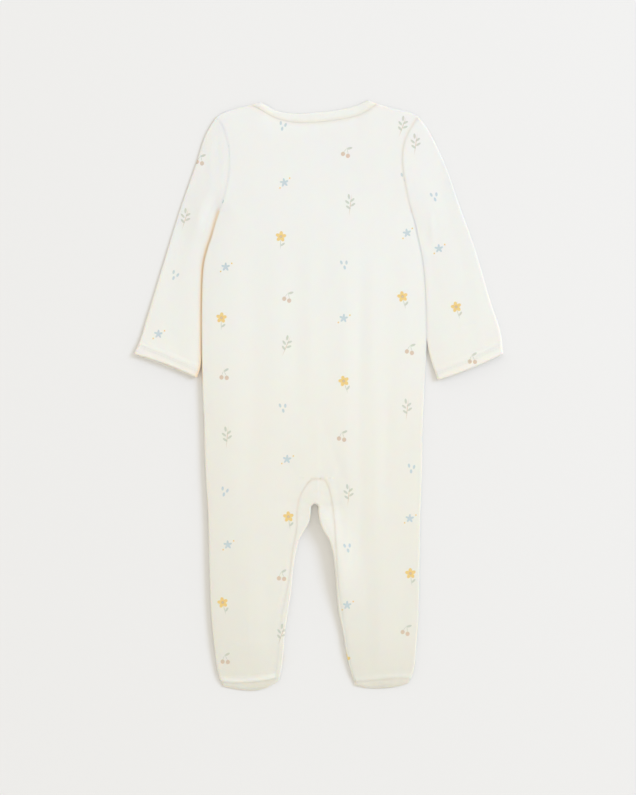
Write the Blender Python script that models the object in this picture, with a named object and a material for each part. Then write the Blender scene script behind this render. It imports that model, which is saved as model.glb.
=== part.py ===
"""Footed baby sleepsuit, lying flat on its front with its back uppermost.

The suit is drawn once in plan. Its outline says where the cloth folds over from the upper layer
to the lower one, and its seams say where one cut piece ends and the next begins. Every piece is
a net of points on that plan, raised to its layer and given the wall of the cloth.

Lengths are in millimetres until a mesh is made. x runs across the suit, y from the soles to the
neck, z up from the surface it lies on. "left" is the side at negative x.
"""
import bmesh
import bpy
import numpy as np

MM = 0.001
SIDES = ("left", "right")

# The cloth and how high the suit lies.
WALL = 1.8               # brushed cotton interlock with its loft
SEAM_GAP = 0.3           # between two pieces at a seam
EDGE_ROLL = 3.4          # how far in from the outline a fold rounds over
CROWN = 2.0              # what the middle of a wide panel rises above its edges
CROWN_REACH = 26.0       # how far in from the edge most of that rise is gained
SLEEVE_DROP = 1.2        # how much lower than the body a sleeve lies
SLEEVE_EASE = 42.0       # how far below the armhole it has come down to that
CROTCH = (0.0, 179.0)    # the saddle where both inner legs meet
CROTCH_LIFT = 1.5        # how much higher the cloth stands there
CROTCH_REACH = 11.0
RAISED_LEG = {"from": 40.0, "full": 100.0, "to": 178.0, "lift": 6.0, "reach": 16.0}   # inner edge
WALL_REACH = 6.0         # how far in from a fold the inner face is eased aside
HEM_DEPTH = 10.5         # turned hem at the cuff
HEM_STEP = 1.0           # length over which the hem stands up from the sleeve
HEM_LIFT = 0.4           # what the second layer of the hem adds
NECKBAND_LIFT = 0.4      # what the folded neckband stands above the back
FRONT_NECK_DROP = 38.0   # how far the front neckline falls below the shoulder tips
FRONT_BAND_DROP = 33.0   # the same for the free edge of its neckband
NECK_FALL = 0.6          # below 1, the rows of a panel part early at the neckline
BAND_UNDER = 12.0        # what the inner-leg band shows on the underside
LINE_STEPS = 10          # straight lengths between two given points of a line
ON_LINE = 0.002          # a point this near a line lies on it


def table(columns, *rows):
    """Rows of numbers under named columns, as one array for each column."""
    return dict(zip(columns.split(), np.array(rows, float).T))


# Heights up the body: of the fold, and of both layers just inside it.
HEIGHT = table(
    "y      fold top",
    (0.0,   2.4, 4.9),
    (22.0,  2.5, 5.1),
    (45.0,  2.8, 5.5),
    (100.0, 3.0, 5.8),
    (435.0, 3.0, 5.8),
    (475.0, 2.8, 5.5),
    (515.0, 2.5, 5.0),
    (560.0, 2.4, 4.8))

# Shoulder line from the tip of the neckband to the head of the sleeve.
SHOULDER = table(
    "left_x  left_y  right_x right_y",
    (-52.9,  559.4,  50.8,   560.2),
    (-61.1,  556.4,  58.9,   557.1),
    (-78.0,  552.0,  80.5,   551.2),
    (-91.0,  546.8,  92.0,   548.0),
    (-94.3,  544.7,  97.9,   544.7))

# Armhole seam below the shoulder point, down to the underarm.
ARMHOLE = table(
    "y      left   right",
    (541.0, -91.7, 94.8),
    (535.3, -87.9, 91.0),
    (525.4, -84.7, 85.8),
    (514.4, -82.0, 82.9),
    (503.0, -81.4, 82.2),
    (486.9, -82.5, 84.0),
    (475.5, -84.8, 86.0),
    (465.0, -87.8, 88.4),
    (454.5, -91.7, 91.1))

# Side of the body and leg, from below the underarm to the heel.
BODY_SIDE = table(
    "y      left    right",
    (445.0, -94.8,  93.7),
    (431.0, -98.8,  95.9),
    (418.0, -102.9, 98.8),
    (404.0, -105.2, 101.6),
    (371.0, -107.2, 104.8),
    (333.0, -107.6, 105.5),
    (295.0, -107.3, 103.8),
    (257.0, -105.9, 102.1),
    (209.0, -104.4, 101.2),
    (162.0, -101.8, 99.4),
    (114.0, -100.7, 98.8),
    (67.0,  -98.6,  97.6),
    (40.0,  -96.0,  95.6),
    (24.0,  -94.0,  94.2),
    (12.0,  -91.3,  90.9))

# Sleeve edges from the shoulder point and the underarm down to the cuff.
SLEEVE_OUTER = table(
    "left_x  left_y  right_x right_y",
    (-103.1, 530.4,  103.1,  538.2),
    (-113.3, 500.7,  118.5,  510.0),
    (-128.7, 456.5,  137.0,  460.0),
    (-146.5, 399.0,  151.8,  418.5),
    (-158.5, 359.0,  166.0,  370.0),
    (-170.5, 323.5,  176.3,  337.0),
    (-172.2, 320.3,  178.1,  320.6))
SLEEVE_INNER = table(
    "left_x  left_y  right_x right_y",
    (-95.8,  445.0,  94.6,   445.0),
    (-99.7,  431.2,  96.8,   431.2),
    (-103.5, 418.5,  99.6,   418.0),
    (-105.9, 404.2,  102.2,  404.0),
    (-107.9, 371.0,  105.4,  371.0),
    (-108.4, 333.0,  106.2,  336.0),
    (-110.3, 305.0,  109.4,  316.0),
    (-112.4, 297.6,  115.7,  295.6))
CUFF_BOW = {"left": 0.0, "right": 2.0}   # how far the cuff bows beyond a straight line

# Back neckline: where the neckband is sewn on, and its free edge.
NECK = table(
    "seam_x seam_y  free_x free_y",
    (-61.1, 556.4,  -52.9, 559.4),
    (-54.3, 552.6,  -47.0, 555.3),
    (-39.5, 544.3,  -39.5, 551.1),
    (-21.7, 539.6,  -21.7, 547.6),
    (-0.8,  539.6,  -0.8,  548.4),
    (18.5,  541.6,  18.5,  550.4),
    (31.9,  543.9,  31.9,  553.0),
    (43.9,  547.6,  42.0,  556.3),
    (58.9,  557.1,  50.8,  560.2))

# Inner leg, from the crotch down: the back's seam to the band, and the fold itself.
CROTCH_SEAM_TOP = (2.4, 201.3)
CROTCH_FOLD_TOP = (-0.7, 177.4)
LEG_SEAM = table(
    "left_x left_y right_x right_y",
    (-3.6,  200.3, 8.2,    200.3),
    (-7.8,  196.9, 11.0,   196.3),
    (-11.3, 191.2, 12.9,   191.2),
    (-14.7, 184.3, 14.8,   184.3),
    (-17.0, 175.1, 16.2,   175.1),
    (-17.8, 166.4, 17.3,   166.4),
    (-17.7, 156.7, 18.3,   156.7),
    (-19.4, 145.4, 18.9,   145.0),
    (-21.6, 134.5, 19.6,   134.5),
    (-24.2, 113.5, 21.7,   113.5),
    (-27.4, 95.0,  23.0,   95.0),
    (-31.2, 76.5,  25.2,   76.5),
    (-33.9, 57.0,  28.8,   57.0),
    (-35.9, 30.0,  33.4,   30.0))
LEG_FOLD = table(
    "left_x left_y right_x right_y",
    (-3.6,  175.6, 2.2,    175.6),
    (-4.4,  169.6, 2.6,    169.6),
    (-6.2,  159.6, 4.2,    160.0),
    (-11.3, 151.0, 8.2,    150.8),
    (-15.0, 144.5, 12.3,   144.5),
    (-17.8, 134.5, 15.6,   134.5),
    (-21.2, 113.5, 18.7,   113.5),
    (-22.9, 95.0,  20.0,   95.0),
    (-25.8, 76.5,  21.8,   76.5),
    (-28.7, 57.0,  25.7,   57.0),
    (-30.9, 30.0,  30.4,   30.0),
    (-33.4, 14.0,  34.8,   14.0))

# Foot ends: where the sole is sewn on, and the end of the foot, from the outer side inwards.
SOLE_SEAM_ENDS = {"left": (8.4, 12.4), "right": (10.8, 8.4)}   # height at outer and inner edge
SOLE_SEAM = table(
    "left_x left_y right_x right_y",
    (-75.5, 7.3,   84.6,   11.9),
    (-63.7, 7.7,   74.4,   11.9),
    (-53.5, 8.7,   66.1,   11.1),
    (-43.2, 10.5,  52.0,   9.4))
FOOT_END = table(
    "left_x left_y right_x right_y",
    (-87.7, 4.3,   87.9,   7.0),
    (-75.5, 1.6,   80.0,   4.6),
    (-63.7, 0.2,   71.0,   3.0),
    (-53.5, 0.7,   61.0,   2.4),
    (-43.2, 4.2,   48.0,   2.9),
    (-34.4, 9.6,   37.5,   5.2))

# Largest folds of the upper layer: a soft trough (negative) or ridge along a straight run.
FOLDS = table(
    "x0     y0     x1     y1     half_width rise",
    (43.5,  402.0, 42.0,  128.0, 6.0,       -0.5),
    (57.5,  412.0, 56.0,  132.0, 6.5,       0.4),
    (3.0,   262.0, 30.0,  196.0, 6.0,       -0.4))

# Nets: distances in from a fold at which its rounding is drawn, and the rows of the body.
ROLL_IN = (0.7, 2.1)
ARMHOLE_ROLL = (0.7, 2.2, 4.4)
UNDERARM_ROLL = (3.6, 1.3)
NECK_ROLL = (2.2, 5.4)
ARMHOLE_ROWS = 5
SHOULDER_COLUMNS = 3
NECK_COLUMNS = 3
TORSO_ROWS = (444.0, 431.0, 417.0, 402.0, 366.0, 330.0, 296.0, 264.0, 238.0, 218.0)
ARCH_ROWS = 6
ARCH_END = 157.0
LEG_ROWS = (147.0, 134.0, 114.0, 90.0, 66.0, 42.0, 24.0)
BAND_ROLL = ((3.6, 0.6), (1.9, 0.35), (0.6, 0.12), (0.0, 0.0))   # (at most, share of its width)
SOLE_ROLL = (0.0, 0.35, 0.65, 0.88, 1.0)                          # share of the way to the end
SOLE_NEAR_LEG = (4.5, 3.0, 1.8, 0.7, 0.0)
SLEEVE_ROWS = (0.12, 0.26, 0.40, 0.54, 0.68, 0.82)
NECKBAND_ROWS = (0.0, 0.25, 0.75, 1.0)

CLOTH = (0.84, 0.81, 0.73, 1.0)
ROUGHNESS = 0.9


class Line:
    """A smooth line through given points, measured along its length."""

    def __init__(self, points):
        points = np.array(points, float)
        span = np.linalg.norm(np.diff(points, axis=0), axis=1)[:, None]
        slope = np.diff(points, axis=0) / span
        bend = (slope[:-1] * span[1:] + slope[1:] * span[:-1]) / (span[1:] + span[:-1])
        tangent = np.vstack([slope[:1], bend, slope[-1:]])
        t = np.linspace(0, 1, LINE_STEPS + 1)[1:, None]
        runs = [points[:1]]
        for i, reach in enumerate(span):
            a, b = points[i], points[i + 1]
            start, end = tangent[i] * reach, tangent[i + 1] * reach
            runs.append((2*t**3 - 3*t**2 + 1) * a + (t**3 - 2*t**2 + t) * start
                        + (3*t**2 - 2*t**3) * b + (t**3 - t**2) * end)
        self.points = np.vstack(runs)
        steps = np.linalg.norm(np.diff(self.points, axis=0), axis=1)
        self.travel = np.concatenate([[0.0], np.cumsum(steps)])
        self.length = self.travel[-1]

    def at(self, distance):
        """Point this far along the line."""
        return np.stack([np.interp(distance, self.travel, self.points[:, k]) for k in (0, 1)], -1)

    def where(self, axis, value):
        """How far along the line its x (axis 0) or y (axis 1) takes this value."""
        coordinate, travel = self.points[:, axis], self.travel
        if coordinate[0] > coordinate[-1]:
            coordinate, travel = coordinate[::-1], travel[::-1]
        return np.interp(value, coordinate, travel)

    def nearest(self, points):
        """Distance of each point, the direction away from the line, and the line's own there."""
        step = np.diff(self.points, axis=0)
        offset = points[:, None] - self.points[:-1]
        along = np.clip((offset * step).sum(-1) / (step * step).sum(-1), 0, 1)
        apart = offset - along[..., None] * step
        distance = np.linalg.norm(apart, axis=-1)
        best = distance.argmin(1)
        pick = np.arange(len(points))
        tangent = step[best] / np.linalg.norm(step[best], axis=1)[:, None]
        inward = np.stack([-tangent[:, 1], tangent[:, 0]], -1)
        distance = distance[pick, best]
        away = apart[pick, best] / np.maximum(distance, 1e-9)[:, None]
        return distance, np.where(distance[:, None] > 1e-4, away, inward), tangent

    def reversed(self):
        """The same line from its other end."""
        other = Line.__new__(Line)
        other.points, other.length = self.points[::-1], self.length
        other.travel = self.length - self.travel[::-1]
        return other


class ArchLine(Line):
    """A line up the left leg, over the crotch and down the right leg."""

    def __init__(self, up):
        super().__init__(list(up["left"]) + list(up["right"])[-2::-1])
        self.top = self.travel[(len(up["left"]) - 1) * LINE_STEPS]

    def travel_at(self, side, y):
        """How far along the line one leg reaches this height."""
        leg = self.travel <= self.top if side == "left" else self.travel >= self.top
        heights, travel = self.points[leg, 1], self.travel[leg]
        order = np.argsort(heights)
        return np.interp(y, heights[order], travel[order])

    def on_leg(self, side, y):
        """Point of one leg at this height."""
        return self.at(self.travel_at(side, y))


def side_points(rows, side):
    """The points of one side from a table that holds both."""
    return list(zip(rows[side + "_x"], rows[side + "_y"]))


def side_heights(rows, side):
    """The points of one side from a table with one height for both."""
    return list(zip(rows[side], rows["y"]))


def spaced(start, end, count):
    """Distances after start, up to and with end, in equal steps."""
    return list(np.linspace(start, end, count + 1)[1:])


class Plan:
    """Outline and seams of the whole suit. Outline lines keep the cloth on their left hand."""

    def __init__(self):
        self.shoulder, self.armhole, self.side, self.outer, self.inner = {}, {}, {}, {}, {}
        self.sole_seam, self.foot_end = {}, {}
        seam_up, fold_up = {}, {}
        for side in SIDES:
            turn = Line.reversed if side == "right" else lambda line: line
            shoulder = side_points(SHOULDER, side)
            self.shoulder[side] = turn(Line(shoulder))
            self.armhole[side] = Line([shoulder[-1]] + side_heights(ARMHOLE, side))
            underarm = side_heights(ARMHOLE, side)[-1]
            foot_end = side_points(FOOT_END, side)
            self.side[side] = turn(Line([underarm] + side_heights(BODY_SIDE, side) + foot_end[:1]))
            self.outer[side] = turn(Line([shoulder[-1]] + side_points(SLEEVE_OUTER, side)))
            self.inner[side] = turn(Line([underarm] + side_points(SLEEVE_INNER, side)).reversed())
            self.foot_end[side] = turn(Line(foot_end))
            fold_up[side] = side_points(LEG_FOLD, side)[::-1] + [CROTCH_FOLD_TOP]
            fold_up[side].insert(0, foot_end[-1])
            seam_up[side] = side_points(LEG_SEAM, side)[::-1] + [CROTCH_SEAM_TOP]
        self.fold = ArchLine(fold_up)
        for side in SIDES:
            outer_y, inner_y = SOLE_SEAM_ENDS[side]
            ends = [self.on_side(side, outer_y), self.fold.on_leg(side, inner_y)]
            self.sole_seam[side] = Line([ends[0]] + side_points(SOLE_SEAM, side) + [ends[1]])
            lowest = seam_up[side][0]
            ankle_x = ends[1][0] + lowest[0] - self.fold.on_leg(side, lowest[1])[0]
            seam_up[side].insert(0, self.on_sole_seam(side, np.array([ankle_x]))[0])
        self.leg_seam = ArchLine(seam_up)
        self.neck = Line(list(zip(NECK["seam_x"], NECK["seam_y"])))
        self.neck_free = Line(list(zip(NECK["free_x"], NECK["free_y"])))
        self.front_neck = self.lowered(self.neck, FRONT_NECK_DROP)
        self.front_neck_free = self.lowered(self.neck_free, FRONT_BAND_DROP)
        self.under_seam = ArchLine({side: self.under_points(side)[::-1] for side in SIDES})
        self.outline = [line for group in (self.shoulder, self.side, self.outer, self.inner,
                                           self.foot_end) for line in group.values()]
        self.outline.append(self.fold)

    def on_side(self, side, y):
        """Point of the body's side at this height."""
        return self.side[side].at(self.side[side].where(1, y))

    def on_sole_seam(self, side, x):
        """Points of the sole's seam at these distances across the suit."""
        seam = self.sole_seam[side]
        return seam.at(seam.where(0, x))

    def lowered(self, back, drop):
        """The front's neckline, hung from the same tips as the back's."""
        tips = back.points[0], back.points[-1]
        share = np.linspace(0, 1, 13)
        sag = drop * (1 - (2 * share - 1) ** 2)
        return Line([tips[0] + (tips[1] - tips[0]) * s - (0, fall) for s, fall in zip(share, sag)])

    def leg_stations(self, side):
        """Matching points of the band's upper seam and its fold, from the crotch to the ankle."""
        stations = []
        for line in (self.leg_seam, self.fold):
            arch = np.linspace(line.top, line.travel_at(side, ARCH_END), ARCH_ROWS + 1)
            legs = [line.travel_at(side, y) for y in LEG_ROWS]
            ankle = self.sole_seam[side].points[-1]
            if line is self.leg_seam:
                ankle = line.points[0 if side == "left" else -1]
            stations.append(np.vstack([line.at(arch), line.at(np.array(legs)), ankle]))
        return stations

    def under_points(self, side):
        """Where the band meets the front on the underside, from the crotch to the ankle."""
        fold_at = self.leg_stations(side)[1]
        points = fold_at + BAND_UNDER * self.fold.nearest(fold_at)[1]
        points[-1] = self.on_sole_seam(side, points[-1:, 0])[0]
        return points


PLAN = Plan()


def eased(value):
    """0 below 0 and 1 above 1, with a smooth run between."""
    value = np.clip(value, 0, 1)
    return value * value * (3 - 2 * value)


def leg_lift(plan):
    """How far the cloth stands off the floor along the inner edge of the right leg."""
    x, y = plan.T
    start, full, end = (RAISED_LEG[key] for key in ("from", "full", "to"))
    along = eased((y - start) / (full - start)) * eased((end - y) / (end - full) * 3)
    off = PLAN.fold.nearest(plan)[0]
    near = np.exp(-(off / RAISED_LEG["reach"]) ** 2)
    return RAISED_LEG["lift"] * along * near * (x > CROTCH_FOLD_TOP[0])


def heights(plan, drop):
    """Height of the fold and of the cloth inside it; drop is how much lower a piece lies."""
    fold, top = [np.interp(plan[:, 1], HEIGHT["y"], HEIGHT[key]) for key in ("fold", "top")]
    lift = leg_lift(plan)
    apart = np.linalg.norm(plan - CROTCH, axis=1) / CROTCH_REACH
    drop = np.minimum(drop, top - HEIGHT["top"].min())
    return fold + 0.75 * lift - drop / 2, top + lift + CROTCH_LIFT * np.exp(-apart ** 2) - drop


def rise(distance):
    """Share of its full height that a layer has this far in from a fold."""
    return np.sqrt(1 - (1 - np.clip(distance / EDGE_ROLL, 0, 1)) ** 2)


def facing_up(distance, height):
    """How far the cloth faces up this far in from a fold: 0 at the fold, 1 where it lies flat."""
    share = np.clip(distance / EDGE_ROLL, 1e-6, 1)
    slope = height / EDGE_ROLL * (1 - share) / np.sqrt(1 - (1 - share) ** 2)
    return 1 / np.sqrt(1 + slope ** 2)


def folds(plan):
    """Height that the largest folds add to the upper layer."""
    height = np.zeros(len(plan))
    for x0, y0, x1, y1, half_width, lift in zip(*FOLDS.values()):
        start, run = np.array([x0, y0]), np.array([x1 - x0, y1 - y0])
        along = np.clip(((plan - start) @ run) / (run @ run), 0, 1)
        apart = np.linalg.norm(plan - start - along[:, None] * run, axis=1)
        height += lift * np.exp(-(apart / half_width) ** 2)
    return height


class Piece:
    """One cut piece: a net of points in plan, each on the upper (1) or lower (-1) layer."""

    def __init__(self, name, folded_at, sewn_at, wraps, drop=lambda plan: 0.0):
        self.name, self.folded_at, self.sewn_at, self.wraps = name, folded_at, sewn_at, wraps
        self.drop = drop
        self.plan, self.layer, self.lift, self.reach, self.faces = [], [], [], [], []
        self.index = {}

    def lay(self, net, layer, lift=0.0, reach=WALL_REACH):
        """Add a net (rows x columns of plan points) on one layer."""
        rows, columns = net.shape[:2]
        plan = net.reshape(-1, 2)
        on_fold = np.min([line.nearest(plan)[0] for line in self.folded_at], axis=0) < ON_LINE
        lift = np.broadcast_to(lift, (rows, columns)).ravel()
        reach = np.broadcast_to(reach, (rows, columns)).ravel()
        at = []
        for point, edge, up, far in zip(plan, on_fold, lift, reach):
            level = 0 if edge and self.wraps else layer
            key = (round(point[0], 3), round(point[1], 3), level)
            if key not in self.index:
                self.index[key] = len(self.plan)
                self.plan.append(point)
                self.layer.append(level)
                self.lift.append(up)
                self.reach.append(far)
            at.append(self.index[key])
        at = np.array(at).reshape(rows, columns)
        for r in range(rows - 1):
            for c in range(columns - 1):
                corners = (at[r, c], at[r, c + 1], at[r + 1, c + 1], at[r + 1, c])
                corners = list(dict.fromkeys(int(corner) for corner in corners))
                if len(corners) > 2:
                    self.faces.append(corners)

    def rim(self):
        """Edges that belong to one face only."""
        used = {}
        for face in self.faces:
            for a, b in zip(face, face[1:] + face[:1]):
                key = (min(a, b), max(a, b))
                used[key] = used.get(key, 0) + 1
        return [key for key, count in used.items() if count == 1]

    def part_at_seams(self, plan, rim):
        """Draw the rim back by half the gap at each seam; keep the seam's direction there."""
        beside = [set() for _ in plan]
        for face in self.faces:
            for p in face:
                beside[p].update(face)
        rim_points = np.array(sorted({p for edge in rim for p in edge}))
        seam_way, shift = np.zeros_like(plan), np.zeros_like(plan)
        found = [line.nearest(plan[rim_points]) for line in self.sewn_at]
        sewn_points = {p for near in found for p in rim_points[near[0] < ON_LINE].tolist()}
        for distance, _, tangent in found:
            sewn = distance < ON_LINE
            for p, way in zip(rim_points[sewn], tangent[sewn]):
                cloth = np.array([plan[q] - plan[p] for q in beside[p] - sewn_points])
                nearest = cloth[np.linalg.norm(cloth, axis=1).argmin()]
                across = np.array([-way[1], way[0]])
                shift[p] += across * np.sign(nearest @ across) * SEAM_GAP / 2
                seam_way[p] = way
        return plan + shift, seam_way

    def points(self):
        """Outer and inner points of the wall."""
        drawn, layer = np.array(self.plan), np.array(self.layer, float)
        reach = np.array(self.reach)[:, None]
        rim = self.rim()
        edge = np.min([line.nearest(drawn)[0] for line in PLAN.outline], axis=0) < ON_LINE
        plan, seam_way = self.part_at_seams(drawn, rim)

        inner = np.zeros_like(plan)
        for line in self.folded_at:
            distance, away, _ = line.nearest(drawn)
            inner += WALL * away * np.clip(1 - distance[:, None] / reach, 0, 1)
        kept = (inner * seam_way).sum(1)[:, None] * seam_way
        on_seam = np.any(seam_way != 0, axis=1)
        turned = edge & (np.linalg.norm(kept, axis=1) < 0.5 * np.linalg.norm(inner, axis=1))
        inner = np.where((on_seam & ~turned)[:, None], kept, inner)

        inset = np.min([line.nearest(plan)[0] for line in PLAN.outline], axis=0)
        inset[edge] = 0
        fold, top = heights(plan, self.drop(plan))
        full = top - fold + folds(plan)
        full += CROWN * (1 - np.exp(-np.clip(inset - EDGE_ROLL, 0, None) / CROWN_REACH))
        upper = layer > 0
        height = fold + np.where(upper, full, -fold) * rise(inset)
        wall = WALL * facing_up(inset, np.where(upper, top - fold, fold)) * np.sign(layer)
        height[layer == 0] = fold[layer == 0]
        parted = edge & (layer != 0)
        height[parted] = fold[parted] + layer[parted] * SEAM_GAP / 2
        wall[parted] = 0
        lift = np.where(upper & ~edge, np.array(self.lift), 0)
        outer_points = np.column_stack([plan, height + lift])
        inner_points = np.column_stack([plan + inner, height - wall])
        return outer_points, inner_points, rim

    def solid(self, collection, material, origin):
        """Close the wall round its rim and make the object."""
        outer, inner, rim = self.points()
        mesh = bmesh.new()
        for point in np.vstack([outer, inner]) - origin:
            mesh.verts.new(point * MM)
        mesh.verts.ensure_lookup_table()
        count = len(outer)
        for face in self.faces:
            mesh.faces.new([mesh.verts[p] for p in face])
            mesh.faces.new([mesh.verts[p + count] for p in reversed(face)])
        for a, b in rim:
            mesh.faces.new([mesh.verts[p] for p in (a, b, b + count, a + count)])
        bmesh.ops.recalc_face_normals(mesh, faces=mesh.faces)
        data = bpy.data.meshes.new(self.name)
        mesh.to_mesh(data)
        mesh.free()
        data.shade_smooth()
        data.materials.append(material)
        part = bpy.data.objects.new(self.name, data)
        collection.objects.link(part)
        return part


def top_row(side, neck):
    """Top edge of half a panel: shoulder point to neck tip, then down the neckline to its middle."""
    shoulder = PLAN.shoulder[side] if side == "left" else PLAN.shoulder[side].reversed()
    tip = shoulder.travel[LINE_STEPS]
    reach = shoulder.length - tip
    from_point = [0.0, *ROLL_IN, *spaced(ROLL_IN[-1], reach, SHOULDER_COLUMNS)]
    points = [shoulder.at(shoulder.length - d) for d in from_point]
    half = neck if side == "left" else neck.reversed()
    down = [*NECK_ROLL, *spaced(NECK_ROLL[-1], half.length / 2, NECK_COLUMNS)]
    return np.array(points + [half.at(d) for d in down])


def neck_distances(neck):
    """Where the columns of both half panels meet the neckline, from its left tip to its right."""
    down = [0.0, *NECK_ROLL, *spaced(NECK_ROLL[-1], neck.length / 2, NECK_COLUMNS)]
    return down + [neck.length - d for d in down[-2::-1]]


def armhole_shares():
    """Where rows of the body and columns of the sleeve meet an armhole seam, as shares of it."""
    length = np.mean([line.length for line in PLAN.armhole.values()])
    middle = spaced(ARMHOLE_ROLL[-1], length - UNDERARM_ROLL[0], ARMHOLE_ROWS)
    return np.array([0.0, *ARMHOLE_ROLL, *middle, length - UNDERARM_ROLL[1], length]) / length


def across(start, end, count):
    """Points of a straight row, close together where it folds over at its start."""
    reach = np.linalg.norm(end - start)
    share = np.array([0.0, *ROLL_IN, *spaced(ROLL_IN[-1], reach, count - len(ROLL_IN) - 1)]) / reach
    return start + (end - start) * share[:, None]


def half_panel(side, neck, inner_leg):
    """Net of half the back or front, from its outer edge to the middle and the inner leg."""
    top = top_row(side, neck)
    count = len(top)
    share = np.concatenate([[0], np.cumsum(np.linalg.norm(np.diff(top, axis=0), axis=1))])
    share /= share[-1]
    armhole = PLAN.armhole[side]
    middle_end = np.array([0.0, armhole.points[-1][1]])
    rows = []
    for down in armhole_shares():
        outer = armhole.at(down * armhole.length)
        middle = top[-1] + (middle_end - top[-1]) * down ** NECK_FALL
        hung = top + np.outer(1 - share, outer - top[0]) + np.outer(share, middle - top[-1])
        flat = down * down * (3 - 2 * down)
        rows.append(hung * (1 - flat) + across(outer, middle, count) * flat)
    crotch = inner_leg[0]
    for y in TORSO_ROWS:
        lean = (middle_end[1] - y) / (middle_end[1] - crotch[1])
        middle = np.array([crotch[0] * lean, y])
        rows.append(across(PLAN.on_side(side, y), middle, count))
    for inner in inner_leg[:-1]:
        rows.append(across(PLAN.on_side(side, inner[1]), inner, count))
    heel = PLAN.sole_seam[side]
    reach = heel.where(0, inner_leg[-1][0])
    distances = [0.0, *ROLL_IN, *spaced(ROLL_IN[-1], reach, count - len(ROLL_IN) - 1)]
    rows.append(heel.at(np.array(distances)))
    return np.array(rows)


def panel(name, layer, neck, inner_leg, inner_seam):
    """The back or the front: both halves, meeting down the middle as far as the crotch."""
    folded_at = [*PLAN.shoulder.values(), *PLAN.side.values()]
    sewn_at = [neck, inner_seam, *PLAN.armhole.values(), *PLAN.sole_seam.values()]
    piece = Piece(name, folded_at, sewn_at, wraps=False)
    for side in SIDES:
        piece.lay(half_panel(side, neck, inner_leg[side]), layer)
    return piece


def back():
    legs = {side: PLAN.leg_stations(side)[0] for side in SIDES}
    return panel("back", 1, PLAN.neck, legs, PLAN.leg_seam)


def front():
    legs = {side: PLAN.under_points(side) for side in SIDES}
    return panel("front", -1, PLAN.front_neck, legs, PLAN.under_seam)


def sleeve_net(side):
    """Rows from the armhole to the cuff, each from the outer fold to the underarm fold."""
    armhole = PLAN.armhole[side]
    outer = PLAN.outer[side] if side == "left" else PLAN.outer[side].reversed()
    inner = PLAN.inner[side].reversed() if side == "left" else PLAN.inner[side]
    share = armhole_shares()[:, None]
    head = armhole.at(share[:, 0] * armhole.length)
    bulge = head - (head[0] + (head[-1] - head[0]) * share)
    hem = (HEM_DEPTH + HEM_STEP / 2, HEM_DEPTH - HEM_STEP / 2)
    outer_at = [outer.length * v for v in SLEEVE_ROWS] + [outer.length - d for d in hem]
    inner_at = [inner.length * v for v in SLEEVE_ROWS] + [inner.length - d for d in hem]
    rows = [head]
    for a, b in zip(outer_at + [outer.length], inner_at + [inner.length]):
        start, end = outer.at(a), inner.at(b)
        reach = np.linalg.norm(end - start)
        middle = spaced(ARMHOLE_ROLL[-1], reach - UNDERARM_ROLL[0], ARMHOLE_ROWS)
        step = np.array([0.0, *ARMHOLE_ROLL, *middle, reach - UNDERARM_ROLL[1], reach])
        along = (step / reach)[:, None]
        down = a / outer.length
        way = (outer.at(outer.length) - outer.at(outer.length - HEM_DEPTH)) / HEM_DEPTH
        bow = CUFF_BOW[side] * 4 * along * (1 - along) * down ** 4 * way
        rows.append(start + (end - start) * along + bulge * (1 - down) ** 2 + bow)
    return np.array(rows)


def sleeve(side):
    """One sleeve: both layers, folded at the outer edge and closed along the underarm."""
    def drop(plan):
        return SLEEVE_DROP * eased(PLAN.armhole[side].nearest(plan)[0] / SLEEVE_EASE)

    piece = Piece("sleeve_" + side, [PLAN.outer[side], PLAN.inner[side]], [PLAN.armhole[side]],
                  wraps=True, drop=drop)
    net = sleeve_net(side)
    lift = np.zeros(net.shape[:2])
    lift[-2:] = HEM_LIFT
    piece.lay(net, 1, lift)
    piece.lay(net, -1)
    return piece


def neckband():
    """A ring round the neck: its back half on the upper layer, its front half on the lower."""
    piece = Piece("neckband", list(PLAN.shoulder.values()), [PLAN.front_neck, PLAN.neck], wraps=True)
    halves = ((PLAN.neck, PLAN.neck_free, 1, NECKBAND_LIFT),
              (PLAN.front_neck, PLAN.front_neck_free, -1, 0.0))
    for seam, free, layer, lift in halves:
        sewn = seam.at(np.array(neck_distances(seam)))
        edge = free.at(np.array(neck_distances(free)))
        net = sewn + (edge - sewn) * np.array(NECKBAND_ROWS)[:, None, None]
        for row, share in zip(net, NECKBAND_ROWS):
            row[[0, -1]] = [shoulder_tip(side, share) for side in SIDES]
        lifts = np.array([0.0, lift, lift, 0.0])[:, None]
        piece.lay(net, layer, lifts)
    return piece


def shoulder_tip(side, share):
    """Point of the shoulder line under the neckband, from its seam (0) to its free edge (1)."""
    line = PLAN.shoulder[side] if side == "left" else PLAN.shoulder[side].reversed()
    return line.at(line.travel[LINE_STEPS] * (1 - share))


def band_net(fold_at, sewn_at):
    """Rows down one leg, each from the band's seam to its fold."""
    width = np.linalg.norm(sewn_at - fold_at, axis=1)
    inset = [width] + [np.minimum(most, share * width) for most, share in BAND_ROLL]
    share = np.array(inset).T / width[:, None]
    return fold_at[:, None] + (sewn_at - fold_at)[:, None] * share[..., None], width


def inner_leg_band():
    """A narrow band round the crotch and down both inner legs, folded under along its length."""
    sewn_at = [PLAN.leg_seam, PLAN.under_seam, *PLAN.sole_seam.values()]
    piece = Piece("inner_leg_band", [PLAN.fold], sewn_at, wraps=True)
    for side in SIDES:
        seam_at, fold_at = PLAN.leg_stations(side)
        for layer, sewn in ((1, seam_at), (-1, PLAN.under_points(side))):
            net, width = band_net(fold_at, sewn)
            net[-1] = PLAN.on_sole_seam(side, net[-1, :, 0])
            piece.lay(net, layer, reach=np.minimum(width, WALL_REACH)[:, None])
    return piece


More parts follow.
